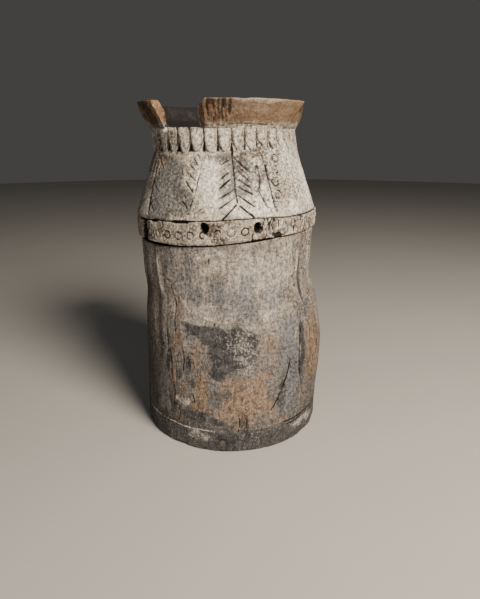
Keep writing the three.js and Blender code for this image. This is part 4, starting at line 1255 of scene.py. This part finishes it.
def rim_lip(weather, finish):
    """The flared rim, from the right of the break round the back to its left. u runs round it, v
    up it and w through it from the outside, each from 0 to 1."""
    around, up, through = RIM_STEPS
    index = -np.ones((around + 1, up + 1, through + 1), int)
    shell = np.zeros(index.shape, bool)
    for side in (0, -1):
        shell[side], shell[:, side], shell[:, :, side] = True, True, True
    index[shell] = np.arange(shell.sum())
    u, v, w = (np.argwhere(shell) / [around, up, through]).T
    start, end = break_edge(373 + v * 26), BREAK_LEFT + 360 - 6.5 * smooth(0.7, 0.0, v) * w
    ragged = round_point(v * 90, w * 11, 30)
    torn = 0.9 * clouds(ragged, (9, 9, 5), 73, 3)
    near_end = smooth(0.02, 0, u) + smooth(0.98, 1, u)
    azimuth = start + u * (end - start) + torn * np.where(u < 0.5, 1.4, 0.7) * near_end
    height = RIM_BOTTOM + v * (lip_height(azimuth) - RIM_BOTTOM)
    outer = outline_radius(np.array(RIM_FLARE), height)
    inner = outline_radius(BORE_OUTLINE, height)
    p = round_point(azimuth, height, 95)
    flat = RIM_FLAT / np.maximum(np.sin(np.radians(azimuth)), 0.2)
    worn_flat = np.where(np.abs(turn(azimuth - 90)) < 75, flat + clouds(p, (9, 9, 5), 74) * 0.5, 200)
    outer = outer + clouds(p, (26, 26, 12), 75) * 0.5 + clouds(p, (7, 7, 5), 76) * 0.3
    outer = np.minimum(outer, worn_flat)
    spalled = spot(azimuth + clouds(p, 9, 80) * 2, height, (-2.5, 389), 9, 13, 0.4)
    warped = p + clouds(p, 7, 87, 3)[..., None] * 1.3
    streak = clouds(warped, (1.8, 1.8, 14), 77, 4)
    splits = spalled * smooth(-0.02, 0.34, streak)
    outer = outer - spalled * 0.8 - splits * 1.4
    from_top = np.clip(1 - (1 - v) * (lip_height(azimuth) - RIM_BOTTOM) / 1.8, 0, 1)
    rounding = 1 - (1 - from_top ** 2) ** 0.5
    outer, inner = outer - 1.7 * rounding, inner + 1.4 * rounding
    inner = np.minimum(inner + clouds(p, (14, 14, 8), 78) * 0.4, outer - 1.6)
    reach = outer + w * (inner - outer)
    reach = reach + near_end * torn * 0.8 * np.sin(np.pi * w)
    height = height + 0.5 * np.sin(np.pi * w) * clouds(p, 5, 79) * (v > 0.999)
    faces = []
    for k, flip in ((0, False), (through, True)):
        faces += quads(index[:, :, k], flip)
    for j, flip in ((0, True), (up, False)):
        faces += quads(index[:, j, :], flip)
    for i, flip in ((0, True), (around, False)):
        faces += quads(index[i], flip)
    piece = new_piece("rim_lip", place_round(RIM_AXIS, reach, azimuth, height), faces)
    outside, within = smooth(0.35, 0.0, w), smooth(0.55, 1.0, w)
    broken, on_top = (u < 0.0005) | (u > 0.9995), v > 0.985
    az = turn(azimuth)
    front = smooth(-30, -10, az) * smooth(95, 70, az)
    flayed = spalled * smooth(0.05, -0.25, streak)
    rust = np.maximum(painted(az, height, RIM_RUST, 81, 2), flayed) * outside
    # Painted highlight on the lip's top at the front
    pale = painted(az, height, RIM_PALE, 82, 2) * outside + 0.25 * on_top * front
    dirty_splits = np.maximum(0.74 * spalled * smooth(-0.16, 0.5, streak), 0.5 * spalled)
    dirt = np.maximum(painted(az, height, RIM_DIRT_AND_SHADE, 83, 1.5), dirty_splits) * outside
    keep_maps(
        piece,
        rust=np.where(broken, 0.3, rust),
        foot=smooth(380.5, 373.5, height + clouds(p, 7, 86) * 2.2) * outside,
        speck=(0.08 + 0.4 * smooth(379, 374, height)) * outside,
        pale=np.where(broken, 0, pale),
        bare=np.where(broken, smooth(372, 379, height), 0),
        slate=np.where(broken & (u > 0.5), smooth(381, 374, height), 0),
        grime=np.where(broken & (u < 0.5), 0.62, np.where(broken, 0.24, dirt)),
        # Painted shade: near-black inside the bore and on the lip's top round the back
        char=np.where(broken, 0, np.maximum(within, 0.8 * on_top * (1 - front))),
        # Painted shade, deepest low in the bore
        crack=np.maximum(0.1 * splits * outside, within * smooth(392, 376, height) * 0.8))
    return weathered(piece, weather, finish, grain=(0.3, 3.0), pits=(0.5, 5), seed=6.0)


def quads(grid, flip):
    """Faces over a grid of vertex numbers."""
    here, right = grid[:-1, :-1], grid[1:, :-1]
    across, up = grid[1:, 1:], grid[:-1, 1:]
    order = [here, up, across, right] if flip else [here, right, across, up]
    return np.stack(order, -1).reshape(-1, 4).tolist()


# The vessel.
def dress(piece, slot, *nodes):
    piece.data.shade_smooth()
    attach(piece, "root")
    for name in nodes:
        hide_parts(name)


def finish_node(name, material):
    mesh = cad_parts[name].data
    mesh.materials.clear()
    mesh.materials.append(material)


def make_vessel():
    weather = weathering_tree()
    log, shoulder, rim = weathered_log(), chalky_shoulder(), rubbed_rim()
    dress(body_wall(weather, log), "body_wood", "lower_body")
    dress(shoulder_wall(weather, shoulder), "shoulder_wood", "shoulder_section")
    dress(band_skirt(weather, shoulder), "shoulder_wood", "shoulder_section")
    dress(petal_collar(weather, shoulder), "shoulder_wood", "shoulder_section")
    dress(rim_lip(weather, rim), "shoulder_wood", "shoulder_section")
    board, peg, gum = sawn_board(), end_grain_peg(), plant_gum()
    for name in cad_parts:
        if "peg" in name:
            finish_node(name, peg)
    finish_node("base_disc", board)
    finish_node("base_seal", gum)


# The studio.
def area_light(name, size, power, place, colour):
    """A round lamp. place is its azimuth, its elevation and how many metres off it stands."""
    light = bpy.data.lights.new(name, "AREA")
    light.shape, light.size, light.energy = "DISK", size, power
    light.color = linear(colour)[:3]
    lamp = bpy.data.objects.new(name, light)
    azimuth, elevation, away = place
    a, e = math.radians(azimuth), math.radians(elevation)
    lamp.location = (away * math.sin(a) * math.cos(e), -away * math.cos(a) * math.cos(e),
                     LAMP_AIM + away * math.sin(e))
    aim = Vector((0, 0, LAMP_AIM)) - lamp.location
    lamp.rotation_euler = aim.to_track_quat("-Z", "Y").to_euler()
    bpy.context.collection.objects.link(lamp)


def studio():
    edge = place_round(0, FLOOR_RADIUS, all_round(FLOOR_CORNERS), 0)
    floor = new_piece("studio_floor", edge, [list(range(FLOOR_CORNERS))])
    material, tree, shader, where = new_material("matt_studio_paper", 0.95)
    tree.links.new(tones(tree, where, 400, ["a6a4a0", "aaa8a4"]), shader.inputs["Base Color"])
    floor.data.materials.append(material)
    world = bpy.data.worlds.new("studio")
    bpy.context.scene.world = world
    world.use_nodes = True
    world.node_tree.nodes["Background"].inputs["Color"].default_value = linear("b2b0ad")
    world.node_tree.nodes["Background"].inputs["Strength"].default_value = 0.14
    area_light("key from the right", 0.7, 54, (36, 38, 1.5), "fff2e0")
    area_light("fill from the front", 1.2, 6, (-4, 22, 2.2), "dfe6f0")


def camera():
    data = bpy.data.cameras.new("camera")
    data.lens = CAMERA_LENS
    data.sensor_fit, data.sensor_height, data.sensor_width = "AUTO", SENSOR, SENSOR
    eye = bpy.data.objects.new("camera", data)
    eye.location = ((FOOT_AXIS + CAMERA_ASIDE) * MM, -CAMERA_AWAY * MM, CAMERA_HEIGHT * MM)
    eye.rotation_euler = (math.radians(90 - CAMERA_DOWN), 0, 0)
    bpy.context.collection.objects.link(eye)
    bpy.context.scene.camera = eye


camera()
studio()
make_vessel()
